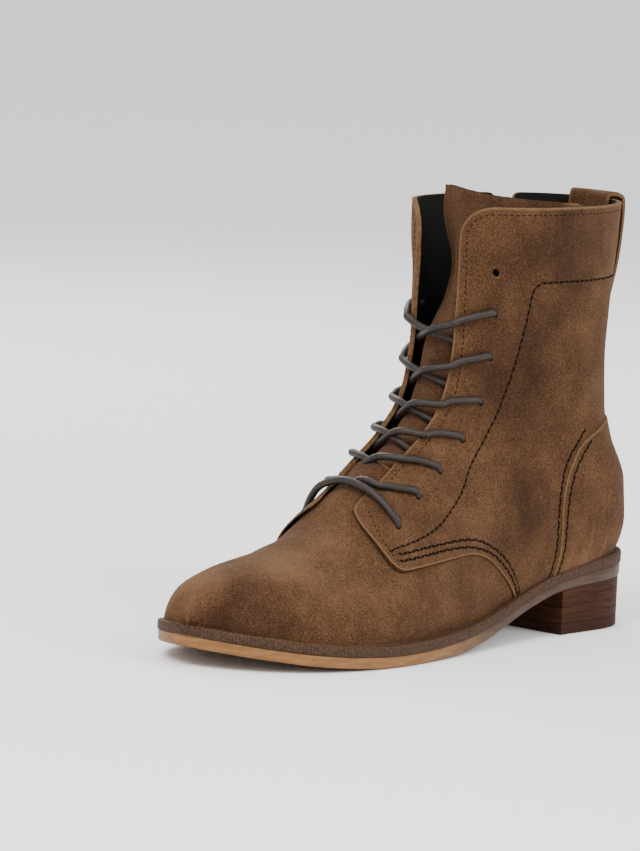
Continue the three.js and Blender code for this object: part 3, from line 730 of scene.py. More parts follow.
class Value:
    """A socket that takes part in sums"""

    def __init__(self, finish, socket):
        self.finish, self.socket = finish, socket

    def sum(self, operation, a, b):
        return self.finish.node("ShaderNodeMath", {"operation": operation}, {0: a, 1: b})

    def __add__(self, other):
        return self.sum("ADD", self, other)

    def __radd__(self, other):
        return self.sum("ADD", other, self)

    def __sub__(self, other):
        return self.sum("SUBTRACT", self, other)

    def __rsub__(self, other):
        return self.sum("SUBTRACT", other, self)

    def __mul__(self, other):
        return self.sum("MULTIPLY", self, other)

    def __rmul__(self, other):
        return self.sum("MULTIPLY", other, self)



class Finish:
    """A material made of nodes"""

    def __init__(self, name):
        self.material = bpy.data.materials.new(name)
        self.material.use_nodes = True
        self.tree = self.material.node_tree
        self.tree.nodes.clear()
        self.place = self.node("ShaderNodeTexCoord", {}, {}, "Object")

    def node(self, kind, settings, values, output=0):
        made = self.tree.nodes.new(kind)
        for name, value in settings.items():
            if name == "stops":
                ramp = made.color_ramp
                while len(ramp.elements) < len(value):
                    ramp.elements.new(0.5)
                for stop, (at, colour) in zip(ramp.elements, value):
                    stop.position, stop.color = at, colour
            else:
                setattr(made, name, value)
        for name, value in values.items():
            if isinstance(value, Value):
                self.tree.links.new(value.socket, made.inputs[name])
            else:
                made.inputs[name].default_value = value
        return Value(self, made.outputs[output])

    def noise(self, scale, detail=3.0, rough=0.6, stretch=(1, 1, 1)):
        place = self.node("ShaderNodeMapping", {}, {"Vector": self.place, "Scale": stretch})
        values = {"Vector": place, "Scale": scale, "Detail": detail, "Roughness": rough}
        return self.node("ShaderNodeTexNoise", {}, values, "Fac")

    def range(self, value, low, high, out_low=0.0, out_high=1.0):
        return self.node(
            "ShaderNodeMapRange", {"clamp": True, "interpolation_type": "SMOOTHSTEP"},
            {"Value": value, "From Min": low, "From Max": high, "To Min": out_low, "To Max": out_high},
        )

    def mix(self, share, a, b):
        return self.node("ShaderNodeMix", {"data_type": "RGBA"}, {0: share, 6: a, 7: b}, 2)

    def ramp(self, value, *stops):
        return self.node("ShaderNodeValToRGB", {"stops": stops}, {"Fac": value})

    def sine(self, value):
        return self.node("ShaderNodeMath", {"operation": "SINE"}, {0: value})

    def ball(self, centre, radius):
        """1 at a point, falling to 0 at a radius round it, both in millimetres"""
        ends = {0: self.place, 1: [c * MM for c in centre]}
        away = self.node("ShaderNodeVectorMath", {"operation": "DISTANCE"}, ends, "Value")
        return self.range(away, 0.0, radius * MM, 1.0, 0.0)

    def mark(self, name):
        return self.node("ShaderNodeAttribute", {"attribute_name": name}, {}, "Fac")

    def surface(self, colour, rough, height=None, strength=1.0, depth=0.1, **uniform):
        """The finished material. depth: of its relief, in millimetres."""
        values = {"Base Color": colour, "Roughness": rough}
        if height:
            bump = {"Height": height, "Strength": strength, "Distance": depth * MM}
            values["Normal"] = self.node("ShaderNodeBump", {}, bump)
        values.update({name.replace("_", " "): value for name, value in uniform.items()})
        shader = self.node("ShaderNodeBsdfPrincipled", {}, values)
        out = self.tree.nodes.new("ShaderNodeOutputMaterial")
        self.tree.links.new(shader.socket, out.inputs["Surface"])
        return self.material


LAMP_SHARE = 0.36  # the lamps are bright for a pale floor, so the finishes are darker than they show


def tone(r, g, b, share=LAMP_SHARE):
    """A colour as a screen shows it, made linear"""
    return tuple(share * ((c / 255 + 0.055) / 1.055) ** 2.4 for c in (r, g, b)) + (1.0,)


def suede(name, dark, middle, light, light_and_shade=(), brushed=()):
    """Napped leather. Two lists of balls of (centre, radius, how much lighter) lighten or darken it: the
    first in places, as painted light and shade on the toe and vamp; the brushed ones in strokes of the nap.
    """
    f = Finish(name)
    grain = f.noise(2900, 2.0)
    clumps = f.noise(700)
    cloud = f.noise(60, 5.0, 0.65)
    broad = f.noise(16, 2.0, 0.5)
    level = f.range(grain, 0.25, 0.75) * 0.54 + f.range(clumps, 0.25, 0.75) * 0.1
    level = level + cloud * 0.45 + broad * 0.25
    for centre, radius, amount in light_and_shade:
        level = level + f.ball(centre, radius) * amount
    for centre, radius, amount in brushed:
        strokes = f.noise(300, 2.0, 0.5, (1, 1, 0.14))
        level = level + f.ball(centre, radius) * f.range(strokes, 0.45, 0.75) * amount
    frayed = f.mark("near_edge") + clumps * 1.6 + grain * 0.8
    worn = f.range(frayed, 1.2, 2.4, 1.0, 0.0) * f.range(grain, 0.2, 0.7, 0.55, 1.0)
    # Painted shade: darker along rows of stitches, in the grooves they pull in, and on the vamp along the
    # quarters' edge as a painted shadow under it
    painted_row_shade = f.range(f.mark("near_row"), 0.2, 0.75, 1.0, 0.0)
    colour = f.ramp(f.range(level, 0.28, 1.02), (0.0, dark), (0.5, middle), (1.0, light))
    colour = f.mix(painted_row_shade * 0.6, f.mix(worn * 0.8, colour, EDGE_TAN), ROW_SHADOW_TONE)
    return f.surface(
        colour, 0.95, grain * 0.7 + clumps * 0.3, 0.6, 0.25,
        Sheen_Weight=0.35, Sheen_Roughness=0.45, Sheen_Tint=EDGE_TAN, Specular_IOR_Level=0.15,
    )


def cut_edge(name, colour, light):
    f = Finish(name)
    fuzz = f.noise(2300, 3.0, 0.7) * 0.6 + f.noise(700) * 0.4
    return f.surface(
        f.mix(f.range(fuzz, 0.35, 0.65), colour, light), 0.95, fuzz, 0.9, 0.35, Specular_IOR_Level=0.05
    )


def plain(name, colour, light, rough, scale, depth=0.1, strength=0.4, **uniform):
    f = Finish(name)
    weave = f.noise(scale)
    return f.surface(f.mix(weave, colour, light), rough, weave, strength, depth, **uniform)


def stitch_thread(name, colour, light, rough=0.85, **uniform):
    return plain(name, colour, light, rough, 2500, **uniform)


# Balls of painted light and shade: the toe's and the vamp's tops lighter as lit, and the toe's lower outer
# side and its inner side darker as shade. The others lighten or darken the outer side of the shaft in places.
SUEDE_LIGHT_AND_SHADE = [
    ((-10, -226, 34), 26, 0.2),
    ((14, -218, 16), 32, -0.28),
    ((10, -185, 50), 34, 0.14),
    ((34, -60, 60), 34, -0.12),
    ((30, -20, 30), 22, 0.14),
    ((36, -50, 172), 46, -0.13),
    ((36, -65, 118), 46, -0.15),
    ((-30, -205, 30), 30, -0.18),
]
BRUSHED = [((29, -8, 40), 34, 0.14), ((12, 14, 40), 30, 0.14)]
EDGE_TAN = tone(176, 136, 96)
# The dark of the painted shade along stitch rows and under the quarters' edge
ROW_SHADOW_TONE = tone(34, 22, 14)
suede_skin = suede("suede", tone(54, 31, 17), tone(99, 65, 40), tone(158, 115, 79), SUEDE_LIGHT_AND_SHADE, BRUSHED)
tongue_suede = suede("tongue_suede", tone(52, 31, 18), tone(96, 64, 42), tone(144, 104, 74))
loop_suede = suede("loop_suede", tone(54, 32, 18), tone(96, 63, 39), tone(148, 106, 72))
raw_edge = cut_edge("raw_edge", tone(112, 80, 52), tone(182, 142, 102))
dark_lining = plain("lining", tone(14, 12, 11), tone(26, 23, 21), 0.8, 700, Specular_IOR_Level=0.15)
thread = stitch_thread("thread", tone(14, 8, 5), tone(30, 18, 11), Specular_IOR_Level=0.05)
fine_thread = stitch_thread("fine_thread", tone(30, 19, 12), tone(52, 34, 22), Specular_IOR_Level=0.05)
grey_thread = stitch_thread("grey_thread", tone(70, 66, 62), tone(104, 98, 92), Specular_IOR_Level=0.05)
welt_thread = stitch_thread("welt_thread", tone(120, 52, 30), tone(158, 78, 46), 0.6)
LACE_STRANDS = 6
BRAID_TURNS = 5.2  # radians of the braid's slant for a millimetre of lace


def lace_finish():
    f = Finish("waxed_lace")
    around = f.mark("across") * (2 * math.pi * LACE_STRANDS)
    run = f.mark("along_mm") * BRAID_TURNS
    braid = f.range(f.sine(around + run) * f.sine(around - run), -0.6, 0.6)
    dust = f.noise(900)
    colour = f.mix(f.range(braid * 0.4 + dust * 0.6, 0.2, 0.8), tone(32, 23, 18), tone(80, 63, 52))
    return f.surface(
        colour, f.range(dust, 0.2, 0.8, 0.4, 0.6), braid * 0.6 + dust * 0.4, 0.5, 0.15, Specular_IOR_Level=0.3
    )


WELT_RIBS = 380


def welt_finish():
    f = Finish("welt")
    ribs = f.range(f.sine(f.mark("across") * (2 * math.pi * WELT_RIBS)), -0.3, 0.9)
    grain = f.noise(900)
    colour = f.mix(f.range(grain, 0.3, 0.7), tone(74, 48, 31), tone(118, 84, 58))
    colour = f.mix(ribs * 0.35, colour, tone(40, 28, 20))
    return f.surface(colour, 0.7, grain * 0.5 + ribs * 0.5, 0.4, 0.2, Specular_IOR_Level=0.2)


SHANK = (-0.135, -0.075)  # where the honey forefoot turns into the brown shank


def outsole_finish():
    f = Finish("outsole")
    streak = f.noise(260, stretch=(0.3, 0.3, 2.0))
    shank = f.range(f.node("ShaderNodeSeparateXYZ", {}, {"Vector": f.place}, "Y"), *SHANK)
    honey = f.mix(f.range(streak, 0.3, 0.7), tone(172, 114, 58), tone(204, 146, 82))
    brown = f.mix(f.range(streak, 0.3, 0.7), tone(78, 50, 28), tone(110, 76, 44))
    return f.surface(f.mix(shank, honey, brown), 0.5, streak, 0.2, 0.1, Specular_IOR_Level=0.3)


def heel_finish(name, dark, middle, light):
    f = Finish(name)
    fine = f.noise(900, stretch=(0.5, 0.5, 3.0))
    level = f.noise(240, 5.0, 0.65, (0.35, 0.35, 3.2)) * 0.65 + fine * 0.35
    colour = f.ramp(level, (0.28, dark), (0.5, middle), (0.74, light))
    return f.surface(colour, f.range(fine, 0.2, 0.8, 0.55, 0.75), level, 0.35, 0.15, Specular_IOR_Level=0.1)


lace_wax = lace_finish()
welt_leather = welt_finish()
outsole_leather = outsole_finish()
stack = heel_finish("heel_stack", tone(44, 21, 11), tone(82, 44, 24), tone(120, 74, 42))
top_lift = heel_finish("top_lift", tone(40, 20, 13), tone(74, 40, 26), tone(100, 62, 42))
zip_metal = plain("zip_metal", tone(150, 112, 92), tone(176, 138, 116), 0.32, 900, 0.05, 0.2, Metallic=1.0)
zip_cloth = plain("zip_cloth", tone(28, 25, 23), tone(44, 39, 36), 0.8, 1500)
zip_coil = plain("zip_coil", tone(30, 27, 25), tone(50, 45, 42), 0.45, 1500)

# Upper
LEATHER = [suede_skin, dark_lining, raw_edge]
CORNER_REACH = 12.5  # how far to the side the rounded collar corner ends
CORNER_STEPS = 14
THROAT_FOOT = 6.2  # section row
seam = {side: spots(side, smooth_path(QUARTER_EDGE, 2.0)) for side in (OUTER, INNER)}


def throat_edge(side, rows, inset=0):
    return pairs(rows, beside_front(side, rows, THROAT_GAP / 2 + inset))


def collar(start, end, count=70, drop=0):
    angles = np.linspace(start, end, count)
    return pairs(row_at_height(angles, BOOT_HEIGHT - drop), angles)


def feather_edge(side, rows):
    return pairs(rows, side * feather(side, rows))


def collar_corner(side, inset=0.0):
    """The rounded front corner of the collar, from the throat up, as rows of (section row, angle)"""
    turn = np.linspace(0.0, np.pi / 2, CORNER_STEPS)
    z = BOOT_HEIGHT - CORNER_RADIUS + (CORNER_RADIUS - inset) * np.sin(turn)
    across = THROAT_GAP / 2 + inset + (CORNER_REACH - inset) * (1 - np.cos(turn))
    rows = np.full(CORNER_STEPS, 16.0)
    for _ in range(4):
        rows = row_at_height(beside_front(side, rows, across), z)
    return pairs(rows, beside_front(side, rows, across))


def hole_loop(level, side):
    """A round lace hole, as rows of (section row, angle)"""
    u, across = HOLES[level]
    angle = beside_front(side, u, across * BALL_WIDTH)
    per_row = np.linalg.norm(last_point(u + 0.05, angle) - last_point(u - 0.05, angle)) / 0.1
    per_angle = np.linalg.norm(last_point(u, angle + 0.02) - last_point(u, angle - 0.02)) / 0.04
    turn = np.linspace(0, 2 * np.pi, 16, endpoint=False)
    return pairs(u + HOLE_RADIUS * np.cos(turn) / per_row, angle + HOLE_RADIUS * np.sin(turn) / per_angle)


# The quarters' free front corners lie loose on the vamp. These reach from the first to the second of
# two distances in front of the heel's middle, and the rises have their height before them.
FLAP = (131, 139)
FLAP_THICKNESS = 0.75
FRONT_RISES = [(1.1, 138, 149), (0.35, 118, 138)]


def quarter_top(u, angle, place):
    return PANEL_STEP + sum(rise * smooth(-place[..., 1], low, high) for rise, low, high in FRONT_RISES)


def quarter_bottom(u, angle, place):
    loose = smooth(-place[..., 1], *FLAP)
    return -WALL * (1 - loose) + loose * (quarter_top(u, angle, place) - FLAP_THICKNESS)


SLOT_FOOT = 4  # length of the zip slot's rounded lower end


def zip_places(along_zip, across):
    """Places in the side view, that far along the zip and to the rear of its middle"""
    return ZIP_FOOT + np.multiply.outer(along_zip, ZIP_RUN) + np.multiply.outer(across, ZIP_ASIDE)


def slotted(top_edge):
    """The inner collar edge from front to back, with the zip's slot cut into it"""
    half = ZIP_SLOT / 2
    turn = np.linspace(0.2, np.pi - 0.2, 9)
    front_side, back_side = np.arange(139, 3, -2), np.arange(5, 140, 2)
    slot = np.vstack([
        zip_places(front_side, np.full(len(front_side), -half)),
        zip_places(SLOT_FOOT - SLOT_FOOT * np.sin(turn), -half * np.cos(turn)),
        zip_places(back_side, np.full(len(back_side), half)),
    ])
    slot = spots(INNER, slot[slot[:, 1] < BOOT_HEIGHT - 0.5])
    y = last_point(*top_edge.T)[:, 1]
    middle = ZIP_FOOT[0] + (BOOT_HEIGHT - ZIP_END_HEIGHT) * ZIP_RUN[0] / ZIP_RUN[1]
    return np.vstack([top_edge[y < middle - half], slot, top_edge[y > middle + half]])


def quarter_outline(side):
    corner = collar_corner(side)
    back_rows = np.linspace(HEEL_ROW, float(row_at_height(0.0, BOOT_HEIGHT)), 60)[1:-1]
    bottom_edge = feather_edge(side, np.linspace(seam[side][-1, 0], HEEL_ROW, 50))
    bottom_edge[-1, 1] = 0
    top_edge = collar(corner[-1, 1], 0.0)
    if side == INNER:
        top_edge = slotted(top_edge)
    return np.vstack([
        throat_edge(side, np.arange(corner[0, 0] - 0.1, THROAT_FOOT, -0.1)),
        seam[side],
        bottom_edge[1:],
        pairs(back_rows, np.zeros(len(back_rows))),
        top_edge[::-1],
        corner[:0:-1],
    ])


# Lines of stitches in the side view, as (y, z)
LINES = {
    "eyestay": [
        (-146.9, 45.7), (-143.5, 47.6), (-131, 50.7), (-120.5, 53.8), (-110.6, 58.6), (-96.9, 68),
        (-88, 79.6), (-79, 90.6), (-71.4, 102.8), (-66.8, 115.7), (-64.4, 125.6), (-62.8, 138.3),
        (-61.8, 150), (-61, 157.7), (-57.6, 161.3),
    ],
    "high": [(-57.6, 161.3), (-40, 161.6), (-20, 161.8), (-2, 162), (8, 162)],
    "low seam": [
        (-145, 42.4), (-130, 44.2), (-112, 45.8), (-95, 45.2), (-81, 41.0), (-70.7, 32.8), (-61, 21),
    ],
    "high seam": [
        (-144, 45.2), (-123.7, 47.8), (-98.9, 48.8), (-84.5, 45.9), (-72.5, 38.6), (-64.9, 29.3), (-57.4, 18),
    ],
    "counter front": [(-20.2, 93.5), (-29, 81.7), (-32.9, 72.7), (-35.1, 52.4), (-36.3, 38.4), (-39, 22)],
    "counter rear": [(-16.5, 88.5), (-24, 78), (-28, 67.5), (-30, 52), (-31.5, 38), (-34, 22)],
}
LINES["ridge"] = (np.array(LINES["low seam"]) + LINES["high seam"]) / 2
SIDES = {"outer": OUTER, "inner": INNER}
ROWS = {
    side: {name: spots(side, smooth_path(line, 1.5)) for name, line in LINES.items()}
    for side in (OUTER, INNER)
}
for name, side in SIDES.items():
    leather(
        f"quarter_{name}", quarter_outline(side), quarter_top, quarter_bottom, LEATHER,
        holes=[hole_loop(i, side) for i in range(len(HOLES))],
        rows=[ROWS[side][n] for n in ("eyestay", "high", "low seam", "high seam", "counter front")],
        ridges=[ROWS[side]["ridge"]], soften=5,
    )

VAMP_SINK = 1.7  # at the lower end of the throat
# The vamp's rear edge, under the quarters
VAMP_UNDER = [(-42, 24), (-58, 40), (-74, 50), (-95, 56), (-112, 60), (-122, 72)]
PANEL_GAP = 0.1


def vamp_top(u, angle, place):
    return -VAMP_SINK * smooth(u, 5.55, 6.3) * smooth(np.pi - np.abs(angle), 1.2, 0.6)


def vamp_bottom(u, angle, place):
    return vamp_top(u, angle, place) - WALL + PANEL_GAP


def round_front(rows):
    """Rows of the inner side, with the angle measured on through the front"""
    return rows + [0, 2 * np.pi]


def vamp_outline():
    rows = np.linspace(-TOE_CAP + 0.02, 8.6, 160)
    under = smooth_path(VAMP_UNDER, 2.0)
    return np.vstack([
        feather_edge(OUTER, rows), spots(OUTER, under), round_front(spots(INNER, under)[::-1]),
        round_front(feather_edge(INNER, rows))[::-1],
    ])


# The vamp's rows lie along the quarters' edge, where its finish paints a shadow under them as well as a
# groove
leather(
    "vamp", vamp_outline(), vamp_top, vamp_bottom, LEATHER, rows=[seam[OUTER], round_front(seam[INNER])]
)
COUNTER_TOP = (0.508, 0.25)  # share of the boot's height, and half its flat top as an angle


def counter_outline():
    edges = {side: spots(side, smooth_path(COUNTER_EDGE, 2.0)) for side in (OUTER, INNER)}
    for side, edge in edges.items():
        edge[-1, 1] = side * feather(side, edge[-1, 0])
    top = float(row_at_height(0.0, COUNTER_TOP[0] * BOOT_HEIGHT))
    outer_bottom = feather_edge(OUTER, np.linspace(edges[OUTER][-1, 0], HEEL_ROW, 40))
    inner_bottom = feather_edge(INNER, np.linspace(HEEL_ROW, edges[INNER][-1, 0], 40))
    outer_bottom[-1, 1] = 0
    return np.vstack([
        [(top, 0.0), (top, COUNTER_TOP[1])], edges[OUTER], outer_bottom[1:], inner_bottom[1:-1],
        edges[INNER][::-1], [(top, -COUNTER_TOP[1])],
    ])


def counter_top(u, angle, place):
    return np.full(np.shape(u), 2.0 * PANEL_STEP)


def counter_bottom(u, angle, place):
    return np.full(np.shape(u), PANEL_STEP - PANEL_GAP)


leather(
    "heel_counter", counter_outline(), counter_top, counter_bottom, [suede_skin, suede_skin, raw_edge],
    rows=[ROWS[side]["counter rear"] for side in (OUTER, INNER)],
)

# Tongue
TONGUE_FOOT = 5.35
# How much further its inner edge reaches, up the boot, where the laces pinch it
TONGUE_EDGE = monotone(
    [5, 7, 8.2, 9, 9.8, 10.8, 11.6, 12.4, 13.3, 15, 17, 19], [0, 2, 4, 1, 4, 0.5, 2, -3, -6.5, -6, -2, -0.5]
)
# Heights of its soft forms, in millimetres
ROLL, FOLD, WAVE, KNOB, SLUMP = 2.2, 0.9, 0.7, 2.8, 10
OUTER_DROP, INNER_DROP = 3.5, 5  # of its top corners


def tongue():
    top_row = float(row_at_height(np.pi, BOOT_HEIGHT + TONGUE_RISE))

    def place(s, t):
        u = TONGUE_FOOT + (top_row - TONGUE_FOOT) * s
        outside, share = folded(t)
        share = share * 2 - 1
        half = TONGUE_WIDTH / 2 + np.where(share > 0, TONGUE_FLARE * smooth(u, 12, 18), TONGUE_EDGE(u))
        angle = np.where(share >= 0, 1, -1) * (np.pi - front_width(u, np.abs(share) * half, 1))
        depth = WALL + 2 * GAP + LACE_DIAMETER * smooth(u, 5.5, 6.4) + np.where(outside, 0, TONGUE_THICKNESS)
        depth += ROLL * smooth(-share, 0.62, 1.0) * smooth(u, 7, 9)
        depth -= FOLD * np.exp(-(((share + 0.66) / 0.12) ** 2)) * smooth(u, 9, 12)
        depth -= KNOB * np.exp(-(((u - 11) / 0.4) ** 2) - ((share - 0.12) / 0.15) ** 2)
        depth += WAVE * np.sin(u * 1.9 + share * 2.5) * smooth(-share, 0.1, 1.0) * smooth(u, 7, 9)
        p = last_point(u, angle) - normal_at(u, angle) * depth[:, None]
        slump = smooth(u, 11.6, 13.6) * (1 - smooth(u, 14.4, 17.8)) * smooth(-share, -0.4, 0.6)
        p[:, 1] += TONGUE_LEAN * smooth(u, 11, LAST_ROW - 1) + SLUMP * slump
        p[:, 2] -= OUTER_DROP * smooth(share, -0.6, 1.0) * smooth(u, top_row - 2, top_row)
        p[:, 2] -= INNER_DROP * smooth(-share, 0.72, 1.0) ** 2 * smooth(u, top_row - 1, top_row)
        return p

    folded_piece("tongue", 120, 80, place, tongue_suede, TONGUE_WIDTH)


tongue()

# Insole
INSOLE_START, INSOLE_END = 0.35, HEEL_ROW - 0.25
INSOLE_LIFT = 0.1  # its edge as an angle from the upper's own


def inner_wall(u, angle):
    return last_point(u, angle) - normal_at(u, angle) * (WALL + GAP)


def insole_place(s, t):
    u = np.clip(INSOLE_START + (INSOLE_END - INSOLE_START) * s, INSOLE_START, INSOLE_END)
    outside, share = folded(t)
    share = share * 2 - 1
    side = np.where(share >= 0, 1, -1)
    angle = side * (np.where(side > 0, feather(OUTER, u), feather(INNER, u)) + INSOLE_LIFT)
    edge = inner_wall(u, angle)
    middle = (edge + inner_wall(u, -angle)) / 2
    out = middle + (edge - middle) * np.abs(share)[:, None]
    out[:, 2] = sole_top(out[:, 1]) + GAP + np.where(outside, INSOLE_THICKNESS, 0)
    return out


folded_piece("insole", 90, 60, insole_place, dark_lining)

# Sole
WELT_PROFILE = [
    (0.0, 0, 0), (0.5, 0, 0), (0.9, 0, 0), (1, 0.3, 0), (1, 0.0, 0.1), (1, 0.0, 0.5), (1, 0.0, 0.85),
    (1, 0.35, 1.0), (0.9, 0, 1), (0.5, 0, 1), (0.0, 0, 1),
]
SOLE_PROFILE = [
    (0.0, 0, 0), (0.35, 0, 0), (0.7, 0, 0), (0.9, 0, 0), (1, 0.7, 0), (1, 0.2, 0.08), (1, 0.0, 0.25),
    (1, 0.0, 0.6), (1, 0.0, 0.92), (1, 0.25, 1.0), (0.9, 0, 1), (0.5, 0, 1), (0.0, 0, 1),
]
LIFT_PROFILE = [
    (0.0, 0.0, 0), (0.9, 0.0, 0), (1, 0.4, 0.0), (1, 0.0, 0.08), (1, 0.0, 0.9), (1, 0.2, 0.97), (1, 0.2, 1),
    (0.9, 0.0, 1), (0.0, 0.0, 1),
]
HEEL_JOINTS = (0.25, 0.5, 0.74)  # grooves between the heel's layers, as shares of its height
JOINT_DEPTH, JOINT_HALF = 0.22, 0.02
heel_profile = [(0.0, 0.3, 0), (0.9, 0.3, 0), (1, 0.3, 0.0), (1, 0.0, 0.02)]
for k in HEEL_JOINTS:
    heel_profile += [(1, 0.0, k - JOINT_HALF), (1, JOINT_DEPTH, k), (1, 0.0, k + JOINT_HALF)]
heel_profile += [(1, 0.0, 1), (0.9, 0.0, 1), (0.0, 0.0, 1)]
HEEL_FRONT = BACK_Y - HEEL_LENGTH


def welt_bottom(y):
    return outsole_top(y) + 0.05


def heel_top(y):
    return sole_bottom(y) - 0.02


def lift_top(y):
    return np.full_like(y, LIFT_THICKNESS)


sole_layer("welt", welt_leather, 0, welt_bottom, sole_top, WELT_PROFILE, 220)
sole_layer("outsole", outsole_leather, OUTSOLE_INSET, sole_bottom, outsole_top, SOLE_PROFILE, 150)
sole_layer(
    "heel_block", stack, HEEL_INSET, lift_top, heel_top, heel_profile, 120, HEEL_FRONT, False
)
sole_layer(
    "heel_top_lift", top_lift, HEEL_INSET, np.zeros_like, lift_top, LIFT_PROFILE, 120,
    HEEL_FRONT, False,
)

# Pull loop, up the back as rows of (share of the boot's height, share of its stand-off)
LOOP_BACK = [(0.63, 0), (0.7, 0), (0.77, 0.25), (0.86, 0.8), (0.95, 1)]
LOOP_ROW = 2.6  # its stitches lie this far from its edges


def pull_loop():
    out, within = PANEL_STEP + GAP, -WALL - GAP
    top = BOOT_HEIGHT + LOOP_RISE
    half = LOOP_THICKNESS / 2
    rows = smooth_path(
        [
            *((up * BOOT_HEIGHT, out + half + stand * LOOP_STAND_OFF) for up, stand in LOOP_BACK),
            (top - 3.5, out + half + 0.9 * LOOP_STAND_OFF), (top - 1.6, out + 0.7 * LOOP_STAND_OFF),
            (top - 0.9, (out + within) / 2 + 0.4 * LOOP_STAND_OFF), (top - 1.6, within),
            (top - 3.5, within - half), (0.95 * BOOT_HEIGHT, within - half),
            (0.86 * BOOT_HEIGHT, within - half),
        ],
        1.0,
    )
    run = unit(np.gradient(rows, axis=0))

    def place(s, t):
        i = step_of(s, len(rows))
        outside, share = folded(t)
        z, offset = (rows[i] + np.where(outside, 1, -1)[:, None] * half * run[i, ::-1] * [-1, 1]).T
        u = row_at_height(np.zeros(len(z)), z)
        angle = back_width(u, LOOP_WIDTH * (share - 0.5))
        return last_point(u, angle) + normal_at(u, angle) * offset[:, None]

    folded_piece("pull_loop", len(rows) - 1, 48, place, loop_suede, LOOP_WIDTH, LOOP_ROW)


pull_loop()


# Laces
OVER = PANEL_STEP + GAP + LACE_DIAMETER / 2
UNDER = -WALL - GAP - LACE_DIAMETER / 2
IN_HOLE = -WALL + GAP


def beside(level, side, share, offset):
    """A place at a share of the way from the front line out to the holes"""
    hole, rest = divmod(max(level, 0), 1)
    hole = int(hole)
    u, across = (a * (1 - rest) + b * rest for a, b in zip(HOLES[hole], HOLES[hole + 1]))
    angle = beside_front(side, u, across * BALL_WIDTH * share)
    return last_point(u, angle) + normal_at(u, angle) * offset


def edge_share(hole):
    return THROAT_GAP / 2 / (HOLES[hole][1] * BALL_WIDTH)


def lace_piece(name, paths):
    bm = bmesh.new()
    mm = bm.verts.layers.float.new("along_mm")
    for waypoints in paths:
        tube(bm, smooth_path(waypoints, 0.8), LACE_DIAMETER / 2, 14)
    along_layer = bm.verts.layers.float["along"]
    for v in bm.verts:
        v[mm] = v[along_layer] * 45
    closed(bm)
    finished(name, bm, lace_wax, replaces=[name])


def out_of_hole(hole, side):
    """The lace where it leaves a hole and lies over on the facing"""
    return [
        beside(hole, side, 1.0, IN_HOLE - 2.5),
        beside(hole, side, 1.0, -0.4),
        beside(hole, side, 0.97, 1.3),
        beside(hole - 0.13, side, 0.9, OVER - 0.5),
    ]


def strand(hole, side, lift):
    own, other = edge_share(hole), edge_share(hole - 1)
    centre, under = (1, 1.1) if hole > 1 else (0.8, 0.95)
    return [
        *out_of_hole(hole, side),
        beside(hole - 0.41, side, 0.74, OVER - 0.4),
        beside(hole - 0.57, side, (0.74 + own) / 2, OVER - 0.3),
        beside(hole - 0.72, side, own, OVER - 0.2),
        beside(hole - centre, side, 0.15, lift),
        beside(hole - under, -side, other, UNDER - 0.2),
        beside(hole - (1 + under) / 2, -side, (1 + other) / 2, UNDER - 0.1),
        beside(hole - 1, -side, 0.95, UNDER - 0.1),
    ]


def half_bar(side):
    return [
        *out_of_hole(0, side),
        beside(0, side, 0.7, OVER + 0.6),
        beside(0, side, edge_share(0), OVER + 1.0),
    ]


lace_piece("lace_bar", [[*half_bar(OUTER), beside(0, OUTER, 0, OVER + 0.8), *half_bar(INNER)[::-1]]])
for i in range(1, len(HOLES) - 1):
    lace_piece(f"lace_crossing_{i}", [strand(i, OUTER, LACE_LIFT), strand(i, INNER, -LACE_LIFT)])

# Stitches
STITCHES = {
    "eyestay": dict(pitch=3.3, length=2.8, width=0.9, tilt=0.3, material=thread),
    "edge": dict(pitch=2.8, length=1.9, width=0.55, material=fine_thread),
    "lining": dict(pitch=2.8, length=2.0, width=0.6, material=grey_thread),
    "seam": dict(pitch=2.6, length=3.0, width=1.05, tilt=0.5, material=thread),
    "welt": dict(pitch=2.6, length=2.1, width=0.6, material=welt_thread, slot="welt"),
    "zip": dict(pitch=2.8, length=1.9, width=0.6, material=fine_thread),
    "loop": dict(pitch=2.8, length=1.9, width=0.6, material=fine_thread, slot="loop_suede"),
}
STITCH_SINK = 0.1  # share of its width
EDGE_ROW, LINING_ROW = 3.0, 2.2


def in_slot(p):
    """Whether a place on the inner side lies in the zip's slot"""
    out = p[1:] - ZIP_FOOT
    return p[0] < 0 and out @ ZIP_RUN > -0.5 and abs(out @ ZIP_ASIDE) < ZIP_SLOT / 2 + 0.8


def bead(bm, centre, *half_axes):
    """A small ellipsoid"""
    axes = Matrix([(*axis, 0) for axis in half_axes] + [(0, 0, 0, 1)]).transposed()
    axes.translation = Vector(centre)
    made = bmesh.ops.create_icosphere(bm, subdivisions=1, radius=1)["verts"]
    bmesh.ops.transform(bm, matrix=Matrix.Scale(MM, 4) @ axes, verts=made)


def stitches(name, paths, pitch, length, width, material, slot="suede", tilt=0.0):
    """Short stitches along paths of places and directions, joined in one mesh"""
    bm = bmesh.new()
    for points, normals in paths:
        far = run_along(points)

        def at(s, of=points):
            return np.array([np.interp(s, far, column) for column in of.T])

        for k, s in enumerate(np.arange(pitch / 2, far[-1], pitch)):
            p = at(s)
            if in_slot(p):
                continue
            n = unit(at(s, normals))
            run = unit(at(s + 0.3) - at(s - 0.3))
            across = unit(np.cross(n, run))
            c, s = math.cos(tilt), math.sin(tilt) * (1 if k % 2 else -1)
            run, across = run * c + across * s, across * c - run * s
            bead(bm, p - n * width * STITCH_SINK, run * length / 2, across * width / 2, n * width / 2)
    bmesh.ops.recalc_face_normals(bm, faces=bm.faces)
    finished(name, bm, material)


def on_skin(rows, offset):
    u, angle = rows.T
    extra = offset(u, angle, last_point(u, angle)) if callable(offset) else np.full(len(u), offset)
    return skin(u, angle, extra), normal_at(u, angle)


def on_row(side, name, top=quarter_top):
    return on_skin(ROWS[side][name], lambda u, angle, place: top(u, angle, place) - ROW_DEPTH / 2)


